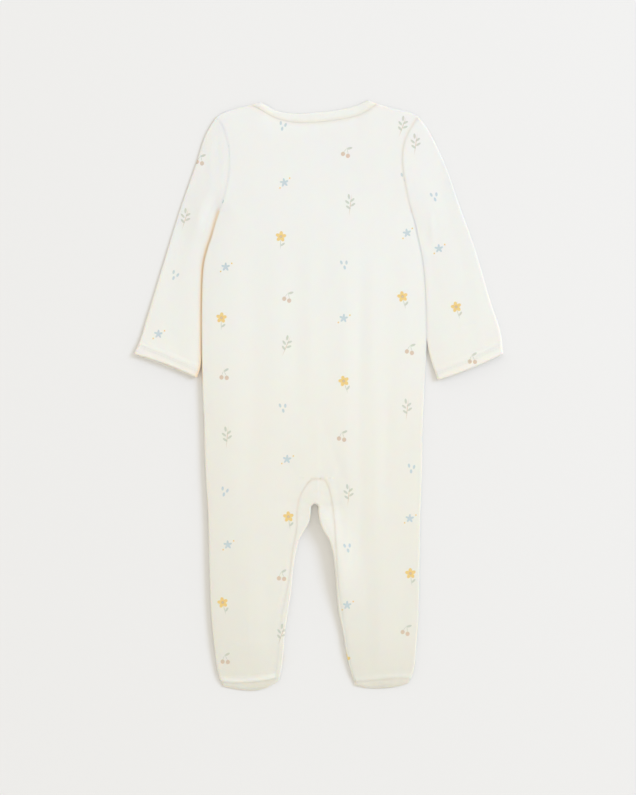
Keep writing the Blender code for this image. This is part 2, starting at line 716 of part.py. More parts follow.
def sole(side):
    """The lens that closes a leg: it folds over the end of the foot from seam to seam."""
    seam, end = PLAN.sole_seam[side], PLAN.foot_end[side]
    end = end if side == "left" else end.reversed()
    side_line = PLAN.side[side] if side == "left" else PLAN.side[side].reversed()
    piece = Piece("sole_" + side, [PLAN.side[side], PLAN.fold, PLAN.foot_end[side]], [seam],
                  wraps=True)
    seam_at, fold_at = PLAN.leg_stations(side)
    for layer, sewn in ((1, seam_at), (-1, PLAN.under_points(side))):
        heel = half_panel(side, PLAN.neck, sewn)[-1]
        ankle = PLAN.on_sole_seam(side, band_net(fold_at, sewn)[0][-1, :, 0])
        rim = np.vstack([heel, ankle[1:]])
        count = len(rim)
        near_leg = [end.length - d for d in SOLE_NEAR_LEG]
        middle = spaced(ROLL_IN[-1], near_leg[0], count - len(ROLL_IN) - len(near_leg))
        spine = end.at(np.array([0.0, *ROLL_IN, *middle, *near_leg[1:]]))
        rows = [rim + (spine - rim) * share for share in SOLE_ROLL]
        side_from, side_to = side_line.where(1, rim[0][1]), side_line.length
        fold_from, fold_to = [PLAN.fold.travel_at(side, line[-1][1]) for line in (rim, spine)]
        for row, share in zip(rows, SOLE_ROLL):
            row[0] = side_line.at(side_from + (side_to - side_from) * share)
            row[-1] = PLAN.fold.at(fold_from + (fold_to - fold_from) * share)
        width = np.linalg.norm(spine - rim, axis=1)
        piece.lay(np.array(rows), layer, reach=np.minimum(width, WALL_REACH)[None])
    return piece


def clear_scene():
    for old in list(bpy.data.objects):
        bpy.data.objects.remove(old, do_unlink=True)


def cloth_material(name):
    material = bpy.data.materials.new(name)
    material.use_nodes = True
    shader = material.node_tree.nodes["Principled BSDF"]
    shader.inputs["Base Color"].default_value = CLOTH
    shader.inputs["Roughness"].default_value = ROUGHNESS
    shader.inputs["Metallic"].default_value = 0.0
    return material


def build():
    clear_scene()
    collection = bpy.data.collections.new("footed_sleepsuit")
    bpy.context.scene.collection.children.link(collection)
    drawn = np.vstack([line.points for line in PLAN.outline])
    origin = np.array([*(drawn.min(0) + drawn.max(0)) / 2, 0.0])
    pieces = [back(), front(), neckband(), inner_leg_band()]
    pieces += [maker(side) for side in SIDES for maker in (sleeve, sole)]
    for piece in pieces:
        piece.solid(collection, cloth_material(piece.name + "_cloth"), origin)


build()
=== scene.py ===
"""Footed baby sleepsuit, laid flat on its front: finished cloth, seams, stitches and print.

Every piece is drawn on one plan of the laid suit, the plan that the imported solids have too. Its
outline says where the cloth folds over from the upper layer to the lower one, and its seams say
where one cut piece ends and the next begins. Each piece is a fine net on that plan, raised to its
layer with its creases, and closed into a thin shell.

Plan lengths are in millimetres. x runs across the suit, y from the soles to the neck, z up from
the floor. "left" is the side at negative x.
"""

import math
from collections import namedtuple
from functools import reduce

import bmesh
import bpy
import numpy as np
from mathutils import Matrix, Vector, noise


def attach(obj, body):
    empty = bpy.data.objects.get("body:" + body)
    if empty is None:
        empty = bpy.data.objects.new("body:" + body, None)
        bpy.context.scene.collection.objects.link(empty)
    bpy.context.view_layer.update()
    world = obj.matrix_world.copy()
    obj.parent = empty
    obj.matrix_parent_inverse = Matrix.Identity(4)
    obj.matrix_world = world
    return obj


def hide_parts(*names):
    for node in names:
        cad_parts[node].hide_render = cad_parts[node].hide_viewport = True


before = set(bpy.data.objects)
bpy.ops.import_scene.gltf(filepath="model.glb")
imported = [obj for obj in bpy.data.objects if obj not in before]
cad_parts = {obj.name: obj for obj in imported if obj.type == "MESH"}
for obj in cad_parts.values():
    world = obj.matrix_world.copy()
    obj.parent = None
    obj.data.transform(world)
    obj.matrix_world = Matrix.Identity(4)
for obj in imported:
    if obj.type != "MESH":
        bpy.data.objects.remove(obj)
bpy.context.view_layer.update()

MM = 0.001
SIDES = ("left", "right")

# The cloth and how high the suit lies.
WALL = 1.2                           # brushed cotton interlock
WALL_REACH = 6.0                     # how far in from a fold the inner face is eased aside
SEAM_GAP = 0.02                      # between two pieces at a seam
SEAM_REACH = 3 * WALL                # how near a seam the inner face is kept from crossing it
RIM_ROUND = 0.45                     # how far a free edge rounds out, as a share of the wall
UNDER_ROLL = 2.6                     # how far in from the outline the lower layer rounds under
CREASE_EDGE = 1.5                    # how far in from a fold creases have their full height
CROWN = {"left": 1.35, "right": 0.6}           # share of the crown that each side has
CROWN_HALF = 100.0                             # how far from the middle that is reached
CROWN_REACH = {"left": 15.0, "right": 22.0}    # how far in from the edge most of it is gained
FLATTER = {"from": 10.0, "to": 95.0, "share": 0.45}          # how much lower the right side lies,
FLATTER_RUN = {"start": 20.0, "end": 500.0, "ease": 70.0}    # and between which heights
CROTCH = (0.0, 179.0)                # the saddle where both inner legs meet
CROTCH_LIFT = 1.7                    # how much higher the cloth stands there
CROTCH_REACH = 11.0                  # and how far round it

# How the back sinks below its neckband: by how much, over which half width, and how far down.
NECK_FALL = {"fall": 1.1, "half_width": 54.0, "ease": 14.0, "reach": 12.0}

# How the inner edge of one leg stands off the floor. It rises between two heights and comes down
# steeper to a third, and the fold itself rises by a share of that.
RAISED_LEG = {"side": "right", "from": 62.0, "full": 128.0, "to": 178.0, "steeper": 3,
              "lift": 6.8, "reach": 16.0, "fold": 0.75}

# The sleeves, and the gap where each lies against the body.
SLEEVE_EASE = 42.0                   # how far below the armhole a sleeve has its own height
INNER_SLOPE = {"left": 8.0, "right": 2.0}      # width of its slope down to the body
INNER_SLOPE_RUN = (8.0, 25.0, 75.0)  # off the armhole: full width from and to, and its end
AGAINST = {"left": 0.93, "right": 0.97}        # share by which folds rise to the cloth inside them
AGAINST_FROM = (285.0, 330.0)        # where up the body that starts, and where it is full
AGAINST_REACH = 6.0                  # how far in from the fold
SLEEVE_RISE = {"left": 0.6, "right": 0.9}      # how far the sleeve comes up to the body there
RISE_REACH = 14.0                    # and how far in from its inner fold
# Painted shade: the cloth beside each gap is tinted warm and dark where the body shades the
# sleeve.
GAP_PAINTED_SHADE = {"left": 0.7, "right": 0.08}      # how much of WARM_SHADE_TONE shows beside the gap,
GAP_REACH = {"body": 0.9, "sleeve": 2.3}       # how far in from it on each piece,
GAP_EASE = 15.0                                # and over which length it comes up

# Sewing.
HEM_DEPTH = 10.5                     # turned hem at the cuff
HEM_LIFT = 0.45                      # what the second layer of the hem adds
HEM_STEP = 1.2                       # length over which it does so
HEM_EDGE = 1.2                       # length over which it thins out at the cuff's edge
CUFF_PEEK = {"left": 1.6, "right": 0.5}        # how far a cuff's lower edge shows past the upper
PEEK_START = 0.9                     # share of the sleeve above which it doesn't
NECKBAND_CUT = 10.0                  # what shows of the neckband on one side, with its edge
NECKBAND_WIDTH = 9.0                 # the same without its rounded edge
NECKBAND_LIFT = 0.5                  # what the folded neckband stands above the back
FRONT_NECK_DROP = 38.0               # how far the front neckline falls below the shoulder tips
FRONT_BAND_DROP = 33.0               # the same for the free edge of its neckband
BAND_UNDER = 12.0                    # what the inner-leg band shows on the underside
ALLOWANCE = (0.9, 6.0)               # pressed seam allowance, from and to off the seam
ALLOWANCE_EASE = 1.1                 # width of the step at each side of it
ALLOWANCE_LIFT = {"body": 0.12, "sleeve": 0.05}   # how far it stands up
HEEL_LIP = {"left": 0.8, "right": 0.3}         # ridge of doubled cloth above the sole,
LIP_AT, LIP_REACH = 2.8, 2.0                   # how far off the seam it is, and its half width
LIP_PAINTED_HIGHLIGHT = 0.75                     # how much of the painted highlight tone the ridge shows for each mm of its height
SEAM_LOOKS = {                       # depth and half width of a seam's dip, and its warm tint: partly the seam's own line, partly painted shade in the dip
    "neck": (0.14, 2.4, 0.17),
    "left armhole": (0.0, 1.4, 0.02),
    "right armhole": (0.10, 1.5, 0.20),
    "arch": (0.04, 1.1, 0.22),
    "sole": (0.03, 1.2, 0.10),
    "hidden": (0.15, 0.9, 0.05)}
SEAM_FADE = (40.0, 140.0)            # heights between which the inner-leg seam comes to show
STITCH = {"pitch": 2.9, "length": 2.1, "thickness": 0.34, "raised": 0.05}
STITCH_VARY = (0.88, 1.12)           # least and greatest share of its length that a stitch has
STITCH_ROWS = (1.4, 3.6)             # how far below the hem's inner edge the two rows run
STITCH_END = 1.2                     # how far in from the folds they start
STITCH_POINTS = 90                   # points that lead a row over the cloth


def table(columns, *rows):
    """Rows of numbers under named columns, as one array for each column."""
    return dict(zip(columns.split(), np.array(rows, float).T))


# Heights of the fold and of the cloth inside it: up the body, and off the armhole down a sleeve.
BODY = table(
    "y      fold top  roll crown",
    (0.0,   0.8, 1.9, 4.5, 0.5),
    (8.0,   1.2, 3.0, 4.5, 0.8),
    (14.0,  1.8, 3.8, 2.4, 1.1),
    (22.0,  2.2, 4.1, 1.5, 1.4),
    (45.0,  3.0, 5.2, 1.3, 2.4),
    (100.0, 3.4, 5.8, 1.4, 2.4),
    (435.0, 3.4, 5.8, 1.4, 2.4),
    (475.0, 2.1, 4.0, 1.5, 2.4),
    (515.0, 1.2, 2.7, 1.6, 2.2),
    (560.0, 1.2, 2.5, 1.7, 1.2))
SLEEVE = table(
    "off    fold top  roll crown",
    (42.0,  0.9, 2.2, 2.2, 1.0),
    (90.0,  1.3, 2.8, 2.3, 1.1),
    (135.0, 2.0, 3.8, 2.4, 1.0),
    (158.0, 2.9, 5.2, 2.6, 0.6))

# Shoulder line from the tip of the neckband to the head of the sleeve.
SHOULDER = table(
    "left_x  left_y  right_x right_y",
    (-52.9,  558.3,  50.8,   560.2),
    (-61.1,  556.0,  58.9,   557.1),
    (-78.0,  552.0,  80.5,   551.2),
    (-91.0,  546.8,  92.0,   548.0),
    (-94.3,  544.7,  97.9,   544.7))

# Armhole seam below the shoulder point, down to the underarm.
ARMHOLE = table(
    "y      left   right",
    (541.0, -91.7, 94.8),
    (535.3, -87.9, 91.0),
    (525.4, -84.7, 85.8),
    (514.4, -82.0, 82.9),
    (503.0, -81.4, 82.2),
    (486.9, -82.5, 84.0),
    (475.5, -84.8, 86.0),
    (465.0, -87.8, 88.4),
    (454.5, -91.7, 91.1))

# Side of the body and leg, from below the underarm to the heel.
BODY_SIDE = table(
    "y      left    right",
    (445.0, -94.8,  94.2),
    (431.0, -98.8,  97.2),
    (418.0, -103.0, 100.1),
    (404.0, -106.2, 102.4),
    (390.0, -107.3, 103.7),
    (371.0, -107.8, 104.8),
    (333.0, -108.0, 105.5),
    (295.0, -107.5, 103.8),
    (257.0, -105.9, 102.1),
    (209.0, -104.4, 101.2),
    (162.0, -101.8, 99.4),
    (114.0, -100.7, 98.8),
    (67.0,  -98.6,  97.6),
    (40.0,  -96.0,  95.6),
    (24.0,  -94.0,  94.2),
    (12.0,  -91.3,  90.9))

# Sleeve edges from the shoulder point and the underarm down to the cuff.
SLEEVE_OUTER = table(
    "left_x  left_y  right_x right_y",
    (-103.1, 530.4,  103.1,  538.2),
    (-113.3, 500.7,  118.5,  510.0),
    (-128.7, 456.5,  137.0,  460.0),
    (-146.5, 399.0,  151.8,  418.5),
    (-158.5, 359.0,  166.0,  370.0),
    (-170.5, 323.5,  176.3,  337.0),
    (-172.2, 320.3,  178.1,  320.6))
SLEEVE_INNER = table(
    "left_x   left_y right_x right_y",
    (-94.86,  445.0, 94.26,  445.0),
    (-98.86,  431.0, 97.26,  431.0),
    (-103.06, 418.0, 100.16, 418.0),
    (-106.26, 404.0, 102.46, 404.0),
    (-107.36, 390.0, 103.76, 390.0),
    (-107.86, 371.0, 104.86, 371.0),
    (-108.15, 333.0, 105.65, 333.0),
    (-109.7,  305.0, 109.0,  316.0),
    (-112.4,  297.6, 115.7,  295.6))
CUFF_BOW = {"left": 0.0, "right": 2.0}         # how far the cuff bows beyond a straight line
HEAD_PARTS = 3                       # columns even out over the first third of a sleeve
BULGE_REACH = 20.0                   # how far in from a fold rows take on the armhole's curve
BULGE_EASE = 10.0                    # how far below the armhole that starts
SLEEVE_GRAIN = {"left": -13.0, "right": 14.0}  # degrees the grain leans from the body's
GRAIN_START = {"left": (37.0, 20.0), "right": (95.0, 20.0)}   # place of its head on the print

# Back neckline: where the neckband is sewn on, and its free edge.
NECK = table(
    "seam_x seam_y  free_x free_y",
    (-61.1, 556.0,  -52.9, 558.3),
    (-54.3, 552.6,  -47.0, 555.3),
    (-39.5, 544.3,  -39.5, 551.1),
    (-21.7, 539.6,  -21.7, 547.6),
    (-0.8,  539.6,  -0.8,  548.4),
    (18.5,  541.6,  18.5,  550.4),
    (31.9,  543.9,  31.9,  553.0),
    (43.9,  547.6,  42.0,  556.3),
    (58.9,  557.1,  50.8,  560.2))

# Inner leg, from the crotch down: the back's seam to the band, and the fold itself.
CROTCH_SEAM_TOP = (2.4, 201.3)
CROTCH_FOLD_TOP = (-0.7, 177.4)
LEG_SEAM = table(
    "left_x left_y right_x right_y",
    (-3.6,  200.3, 8.2,    200.3),
    (-7.8,  196.9, 11.0,   196.3),
    (-11.3, 191.2, 12.9,   191.2),
    (-14.7, 184.3, 14.8,   184.3),
    (-17.0, 175.1, 16.2,   175.1),
    (-17.8, 166.4, 17.3,   166.4),
    (-17.7, 156.7, 18.3,   156.7),
    (-19.4, 145.4, 18.9,   145.0),
    (-21.6, 134.5, 19.6,   134.5),
    (-24.2, 113.5, 20.9,   113.5),
    (-27.4, 95.0,  22.6,   95.0),
    (-31.2, 76.5,  25.2,   76.5),
    (-33.9, 57.0,  28.5,   57.0),
    (-35.9, 30.0,  32.6,   30.0))
LEG_FOLD = table(
    "left_x left_y right_x right_y",
    (-3.6,  175.6, 2.2,    175.6),
    (-4.4,  169.6, 2.6,    169.6),
    (-6.2,  159.6, 4.2,    160.0),
    (-11.3, 151.0, 8.2,    150.8),
    (-15.0, 144.5, 12.3,   144.5),
    (-17.8, 134.5, 15.6,   134.5),
    (-21.2, 113.5, 18.7,   113.5),
    (-22.9, 95.0,  20.0,   95.0),
    (-25.8, 76.5,  21.8,   76.5),
    (-28.7, 57.0,  25.7,   57.0),
    (-30.9, 30.0,  30.4,   30.0),
    (-33.4, 14.0,  34.8,   14.0))

# Foot ends: where the sole is sewn on, and the end of the foot, from the outer side inwards.
SOLE_SEAM_ENDS = {"left": (8.4, 12.4), "right": (10.8, 8.4)}   # height at outer and inner edge
SOLE_SEAM = table(
    "left_x left_y right_x right_y",
    (-75.5, 7.3,   84.6,   11.9),
    (-63.7, 7.7,   74.4,   11.9),
    (-53.5, 8.7,   66.1,   11.1),
    (-43.2, 10.5,  52.0,   9.4))
FOOT_END = table(
    "left_x left_y right_x right_y",
    (-87.7, 4.3,   87.9,   7.0),
    (-75.5, 1.6,   80.0,   4.6),
    (-63.7, 0.2,   71.0,   3.0),
    (-53.5, 0.7,   61.0,   2.4),
    (-43.2, 4.2,   48.0,   2.9),
    (-34.4, 9.6,   37.5,   5.2))

# Creases of the upper layer: a soft trough (negative) or ridge that sways along its run.
CREASES = table(
    "x0      y0     x1      y1     half_width lift   sway",
    (43.5,   402.0, 42.0,   128.0, 5.5,       -0.50, 1.2),
    (57.5,   412.0, 56.0,   132.0, 6.5,       0.42,  1.5),
    (70.0,   300.0, 66.0,   196.0, 4.5,       -0.30, 1.0),
    (86.0,   412.0, 83.0,   230.0, 8.0,       0.25,  1.5),
    (27.0,   405.0, 31.0,   92.0,  5.5,       0.30,  1.4),
    (9.5,    415.0, 12.0,   300.0, 7.0,       -0.24, 1.0),
    (-5.0,   422.0, -4.0,   285.0, 4.5,       0.30,  0.8),
    (-18.5,  402.0, -17.0,  262.0, 6.0,       -0.26, 1.2),
    (-36.5,  424.0, -37.5,  236.0, 8.0,       0.34,  1.6),
    (-58.0,  408.0, -60.0,  190.0, 8.5,       -0.32, 1.8),
    (-80.0,  420.0, -76.0,  150.0, 8.0,       0.26,  1.6),
    (3.0,    262.0, 30.0,   196.0, 4.5,       -0.36, 0.8),
    (-8.0,   262.0, -7.0,   236.0, 6.0,       -0.28, 0.3),
    (-66.0,  150.0, -60.0,  34.0,  9.0,       0.26,  1.6),
    (-46.0,  128.0, -44.0,  26.0,  6.0,       -0.26, 1.2),
    (-82.0,  120.0, -84.0,  30.0,  6.0,       -0.20, 1.0),
    (66.0,   140.0, 63.0,   28.0,  9.0,       0.26,  1.4),
    (48.0,   112.0, 52.0,   24.0,  6.0,       -0.28, 1.2),
    (82.0,   118.0, 84.0,   26.0,  6.0,       -0.22, 1.0),
    (-80.0,  476.0, -52.0,  452.0, 5.0,       -0.22, 0.6),
    (-84.0,  464.0, -60.0,  428.0, 4.0,       0.20,  0.6),
    (80.0,   476.0, 54.0,   458.0, 5.0,       -0.20, 0.6),
    (84.0,   462.0, 66.0,   424.0, 4.5,       0.22,  0.6),
    (-44.0,  536.0, -70.0,  508.0, 7.0,       0.16,  0.8),
    (44.0,   538.0, 68.0,   512.0, 7.0,       0.16,  0.8),
    (-99.0,  528.0, -100.0, 478.0, 3.5,       0.24,  0.6),
    (-92.0,  526.0, -92.0,  486.0, 3.0,       -0.22, 0.4),
    (-118.0, 470.0, -142.0, 372.0, 6.0,       -0.28, 1.2),
    (-108.0, 452.0, -128.0, 384.0, 5.0,       0.26,  0.9),
    (-150.0, 356.0, -134.0, 336.0, 4.0,       -0.24, 0.6),
    (-126.0, 392.0, -122.0, 318.0, 5.5,       0.24,  1.0),
    (109.0,  452.0, 112.0,  424.0, 3.0,       0.26,  0.5),
    (120.0,  480.0, 142.0,  392.0, 6.0,       -0.26, 1.2),
    (104.0,  440.0, 118.0,  356.0, 6.0,       -0.26, 1.0),
    (150.0,  392.0, 156.0,  334.0, 6.0,       0.24,  1.0),
    (132.0,  342.0, 152.0,  350.0, 2.2,       -0.30, 0.4),
    (-15.0,  198.0, -30.0,  222.0, 4.0,       -0.22, 0.4),
    (13.0,   196.0, 24.0,   226.0, 4.0,       0.20,  0.4),
    (-20.0,  176.0, -42.0,  182.0, 5.0,       -0.22, 0.5),
    (20.0,   172.0, 40.0,   176.0, 5.0,       -0.20, 0.5),
    (-40.0,  12.6,  -74.0,  9.6,   2.4,       0.75,  0.2),
    (52.0,   12.6,  74.0,   13.4,  0.9,       -0.22, 0.2),
    (50.0,   9.4,   72.0,   9.9,   0.8,       -0.26, 0.2),
    (54.0,   7.2,   70.0,   7.5,   0.8,       -0.22, 0.2),
    (58.0,   4.5,   73.0,   4.9,   0.6,       -0.45, 0.1))
CREASE_FADE = 0.3                    # share of a crease over which each of its ends fades in
CREASE_SWAY = 4.5                    # how far round its sway goes along it, in radians

# Slow unevenness of the laid cloth: wave lengths across and along the suit, and lift.
UNEVEN = table(
    "across along lift",
    (26.0,  120.0, 0.22),
    (11.0,  38.0,  0.09),
    (5.5,   13.0,  0.035))
UNEVEN_APART = 7.0                   # how far apart in the noise these waves are taken
PUCKER = {"spacing": 7.5, "reach": 6.5, "lift": 0.11}   # small gathers along a seam
PUCKER_DRIFT = (1.9, 5.3)            # how far they shift along it, and in how many of them
PUCKER_VARY = (0.45, 7.1)            # how much their height varies, and in how many of them

# Nets: distances in from a fold and off a seam at which they are drawn, then even steps.
ROLL = (0.0, 0.25, 0.6, 1.0, 1.5, 2.1, 2.8, 3.7)
SEAM = (0.0, 0.35, 0.8, 1.4, 2.2)
STEP = 2.1
LINE_STEPS = 10                      # straight lengths between two given points of a line
ON_LINE = 0.002                      # a point this near a line lies on it
NEAREST_CHUNK = 500                  # points compared with a line at one time
PANEL_COLUMNS = {1: 50, -1: 26}      # even columns of half a panel on each layer
SHOULDER_SHARE = 0.36                # share of them that end at the shoulder, not the neckline
FRONT_NECK_POINTS = 13
ARCH_END = 157.0                     # height where the arch over the crotch turns into the legs
ARCH_STEP = 0.025                    # share of the arch between two rows
FOOT_START = 30.0                    # height where the legs' rows start to turn to the sole's seam
SOLE_TOP = 10.0                      # mean height of that seam
HEM_ROWS = (2.0, 3.5, 5.0, 6.5, 8.0, 9.2, 10.0)   # down from the hem's inner edge
BAND_COLUMNS = 14
BAND_GRADE = 1.5                     # how the band's columns crowd towards its fold
SOLE_STEP = 1.8
SOLE_ROWS = (0.0, 0.05, 0.12, 0.21, 0.31, 0.42, 0.53, 0.64, 0.74, 0.83, 0.90, 0.955, 0.985, 1.0)
NECKBAND_ROWS = (0.0, 0.06, 0.14, 0.24, 0.38, 0.52, 0.66, 0.78, 0.88, 0.95, 1.0)

TINY = 1e-9
LEAST_SHARE = 1e-6                   # keeps the cloth's slope at a fold finite
NO_DISTANCE = 1e-4                   # a point this near a line has no way off it of its own

Near = namedtuple("Near", "distance away tangent travel")
Seam = namedtuple("Seam", "line dip half_width warmth allowance lip fades")
Form = namedtuple("Form", "fold top roll crown")   # heights of the laid cloth round a point


def eased(value):
    """0 below 0 and 1 above 1, with a smooth run between."""
    value = np.clip(value, 0, 1)
    return value * value * (3 - 2 * value)


def eased_from(value, start, end):
    """0 up to start and 1 from end on, with a smooth run between."""
    return eased((value - start) / (end - start))


def bell(distance, reach):
    """1 at no distance, falling smoothly to a third at its reach and to nothing beyond."""
    return np.exp(-(distance / reach) ** 2)


def quarter_turn(ways):
    """Directions turned a quarter to the left."""
    return np.stack([-ways[..., 1], ways[..., 0]], -1)


class Line:
    """A smooth line through given points, measured along its length."""

    def __init__(self, points):
        points = np.array(points, float)
        span = np.linalg.norm(np.diff(points, axis=0), axis=1)[:, None]
        slope = np.diff(points, axis=0) / span
        bend = (slope[:-1] * span[1:] + slope[1:] * span[:-1]) / (span[1:] + span[:-1])
        tangent = np.vstack([slope[:1], bend, slope[-1:]])
        t = np.linspace(0, 1, LINE_STEPS + 1)[1:, None]
        runs = [points[:1]]
        for i, reach in enumerate(span):
            a, b = points[i], points[i + 1]
            start, end = tangent[i] * reach, tangent[i + 1] * reach
            runs.append((2*t**3 - 3*t**2 + 1) * a + (t**3 - 2*t**2 + t) * start
                        + (3*t**2 - 2*t**3) * b + (t**3 - t**2) * end)
        self.points = np.vstack(runs)
        steps = np.linalg.norm(np.diff(self.points, axis=0), axis=1)
        self.travel = np.concatenate([[0.0], np.cumsum(steps)])
        self.length = self.travel[-1]

    def at(self, distance):
        """Point this far along the line."""
        return np.stack([np.interp(distance, self.travel, self.points[:, k]) for k in (0, 1)], -1)

    def where(self, axis, value):
        """How far along the line its x (axis 0) or y (axis 1) takes this value."""
        coordinate, travel = self.points[:, axis], self.travel
        if coordinate[0] > coordinate[-1]:
            coordinate, travel = coordinate[::-1], travel[::-1]
        return np.interp(value, coordinate, travel)

    def nearest(self, points):
        """Where each point lies from the line: distance, direction off it, its way and travel."""
        parts = [self.nearest_few(points[i:i + NEAREST_CHUNK])
                 for i in range(0, max(len(points), 1), NEAREST_CHUNK)]
        return Near(*[np.concatenate(column) for column in zip(*parts)])

    def nearest_few(self, points):
        """The same for points few enough to compare with the whole line at once."""
        start, step = self.points[:-1], np.diff(self.points, axis=0)
        x, y = [points[:, k, None] - start[:, k] for k in (0, 1)]
        along = np.clip((x * step[:, 0] + y * step[:, 1]) / (step * step).sum(-1), 0, 1)
        x -= along * step[:, 0]
        y -= along * step[:, 1]
        best = (x * x + y * y).argmin(1)
        pick = np.arange(len(points))
        apart = np.stack([x[pick, best], y[pick, best]], -1)
        distance = np.linalg.norm(apart, axis=1)
        reach = np.linalg.norm(step, axis=1)[best]
        tangent = step[best] / reach[:, None]
        away = apart / np.maximum(distance, TINY)[:, None]
        away = np.where(distance[:, None] > NO_DISTANCE, away, quarter_turn(tangent))
        return distance, away, tangent, self.travel[best] + along[pick, best] * reach

    def reversed(self):
        """The same line from its other end."""
        other = Line.__new__(Line)
        other.points, other.length = self.points[::-1], self.length
        other.travel = self.length - self.travel[::-1]
        return other

    def turned(self, turn):
        """The line from its other end where turn is true, and as it is otherwise."""
        return self.reversed() if turn else self


class ArchLine(Line):
    """A line up the left leg, over the crotch and down the right leg."""

    def __init__(self, up):
        super().__init__(list(up["left"]) + list(up["right"])[-2::-1])
        self.top = self.travel[(len(up["left"]) - 1) * LINE_STEPS]

    def travel_at(self, side, y):
        """How far along the line one leg reaches this height."""
        leg = self.travel <= self.top if side == "left" else self.travel >= self.top
        heights, travel = self.points[leg, 1], self.travel[leg]
        order = np.argsort(heights)
        return np.interp(y, heights[order], travel[order])

    def on_leg(self, side, y):
        """Point of one leg at this height."""
        return self.at(self.travel_at(side, y))


def side_points(rows, side):
    """The points of one side from a table that holds both."""
    return list(zip(rows[side + "_x"], rows[side + "_y"]))


def side_heights(rows, side):
    """The points of one side from a table with one height for both."""
    return list(zip(rows[side], rows["y"]))


def graded(length, start=(0.0,), end=(0.0,), step=STEP):
    """Distances along a length: as given near each end, in about even steps between."""
    count = max(1, round((length - start[-1] - end[-1]) / step))
    middle = np.linspace(start[-1], length - end[-1], count + 1)
    return np.concatenate([start[:-1], middle, [length - d for d in end[-2::-1]]])


class Plan:
    """Outline and seams of the whole suit. Outline lines keep the cloth on their left hand."""

    def __init__(self):
        self.shoulder, self.armhole, self.side, self.outer, self.inner = {}, {}, {}, {}, {}
        self.sole_seam, self.foot_end = {}, {}
        seam_up, fold_up = {}, {}
        for side in SIDES:
            right = side == "right"
            shoulder = side_points(SHOULDER, side)
            self.shoulder[side] = Line(shoulder).turned(right)
            self.armhole[side] = Line([shoulder[-1]] + side_heights(ARMHOLE, side))
            underarm = side_heights(ARMHOLE, side)[-1]
            foot_end = side_points(FOOT_END, side)
            down = [underarm] + side_heights(BODY_SIDE, side) + foot_end[:1]
            self.side[side] = Line(down).turned(right)
            self.outer[side] = Line([shoulder[-1]] + side_points(SLEEVE_OUTER, side)).turned(right)
            self.inner[side] = Line([underarm] + side_points(SLEEVE_INNER, side)).turned(not right)
            self.foot_end[side] = Line(foot_end).turned(right)
            fold_up[side] = side_points(LEG_FOLD, side)[::-1] + [CROTCH_FOLD_TOP]
            fold_up[side].insert(0, foot_end[-1])
            seam_up[side] = side_points(LEG_SEAM, side)[::-1] + [CROTCH_SEAM_TOP]
        self.fold = ArchLine(fold_up)
        for side in SIDES:
            outer_y, inner_y = SOLE_SEAM_ENDS[side]
            ends = [self.on_side(side, outer_y), self.fold.on_leg(side, inner_y)]
            self.sole_seam[side] = Line([ends[0]] + side_points(SOLE_SEAM, side) + [ends[1]])
            lowest = seam_up[side][0]
            ankle_x = ends[1][0] + lowest[0] - self.fold.on_leg(side, lowest[1])[0]
            seam_up[side].insert(0, self.on_sole_seam(side, np.array([ankle_x]))[0])
        self.leg_seam = ArchLine(seam_up)
        self.neck = Line(list(zip(NECK["seam_x"], NECK["seam_y"])))
        self.neck_free = Line(list(zip(NECK["free_x"], NECK["free_y"])))
        self.front_neck = self.lowered(self.neck, FRONT_NECK_DROP)
        self.front_neck_free = self.lowered(self.neck_free, FRONT_BAND_DROP)
        self.under_seam = ArchLine({side: self.leg_stations(side)[2][::-1] for side in SIDES})
        self.outline = [line for group in (self.shoulder, self.side, self.outer, self.inner,
                                           self.foot_end) for line in group.values()]
        self.outline.append(self.fold)
        drawn = np.vstack([line.points for line in self.outline])
        self.middle = (drawn.min(0) + drawn.max(0)) / 2

    def as_given(self, lines, side):
        """One side's line in the order of its table, whichever way the outline runs."""
        return lines[side].turned(side == "right")

    def on_side(self, side, y):
        """Point of the body's side at this height."""
        return self.side[side].at(self.side[side].where(1, y))

    def on_sole_seam(self, side, x):
        """Points of the sole's seam at these distances across the suit."""
        seam = self.sole_seam[side]
        return seam.at(seam.where(0, x))

    def lowered(self, back, drop):
        """The front's neckline, hung from the same tips as the back's."""
        tips = back.points[0], back.points[-1]
        share = np.linspace(0, 1, FRONT_NECK_POINTS)
        sag = drop * (1 - (2 * share - 1) ** 2)
        return Line([tips[0] + (tips[1] - tips[0]) * s - (0, fall) for s, fall in zip(share, sag)])

    def leg_stations(self, side):
        """Matching points of the back's seam, the fold and the front's seam, crotch to ankle."""
        arch = graded(1.0, step=ARCH_STEP)
        legs = ARCH_END - graded(ARCH_END - FOOT_START)[1:]
        foot = foot_shares()[1:]
        stations = []
        for line in (self.leg_seam, self.fold):
            ankle = line.travel_at(side, SOLE_SEAM_ENDS[side][1])
            if line is self.leg_seam:
                ankle = 0.0 if side == "left" else line.length
            start = line.travel_at(side, FOOT_START)
            travel = [line.top + (line.travel_at(side, ARCH_END) - line.top) * arch,
                      line.travel_at(side, legs), start + (ankle - start) * foot]
            stations.append(line.at(np.concatenate(travel)))
        fold_at = stations[1]
        under = fold_at + BAND_UNDER * self.fold.nearest(fold_at).away
        lift = self.on_sole_seam(side, under[-1:, 0])[0][1] - under[-1, 1]
        under[-len(foot):, 1] += lift * foot ** 2
        return [*stations, under]


def foot_shares():
    """Shares of the way from the start of the foot to the sole's seam."""
    length = FOOT_START - SOLE_TOP
    return graded(length, end=SEAM) / length


PLAN = Plan()


def off_lines(plan, lines):
    """How far points lie from the nearest of some lines."""
    return np.min([line.nearest(plan).distance for line in lines], axis=0)


def by_side(x, values):
    """The left side's value where x is left of the suit's middle, and else the right side's."""
    return np.where(x < PLAN.middle[0], values["left"], values["right"])


# ---- Form of the laid cloth ----

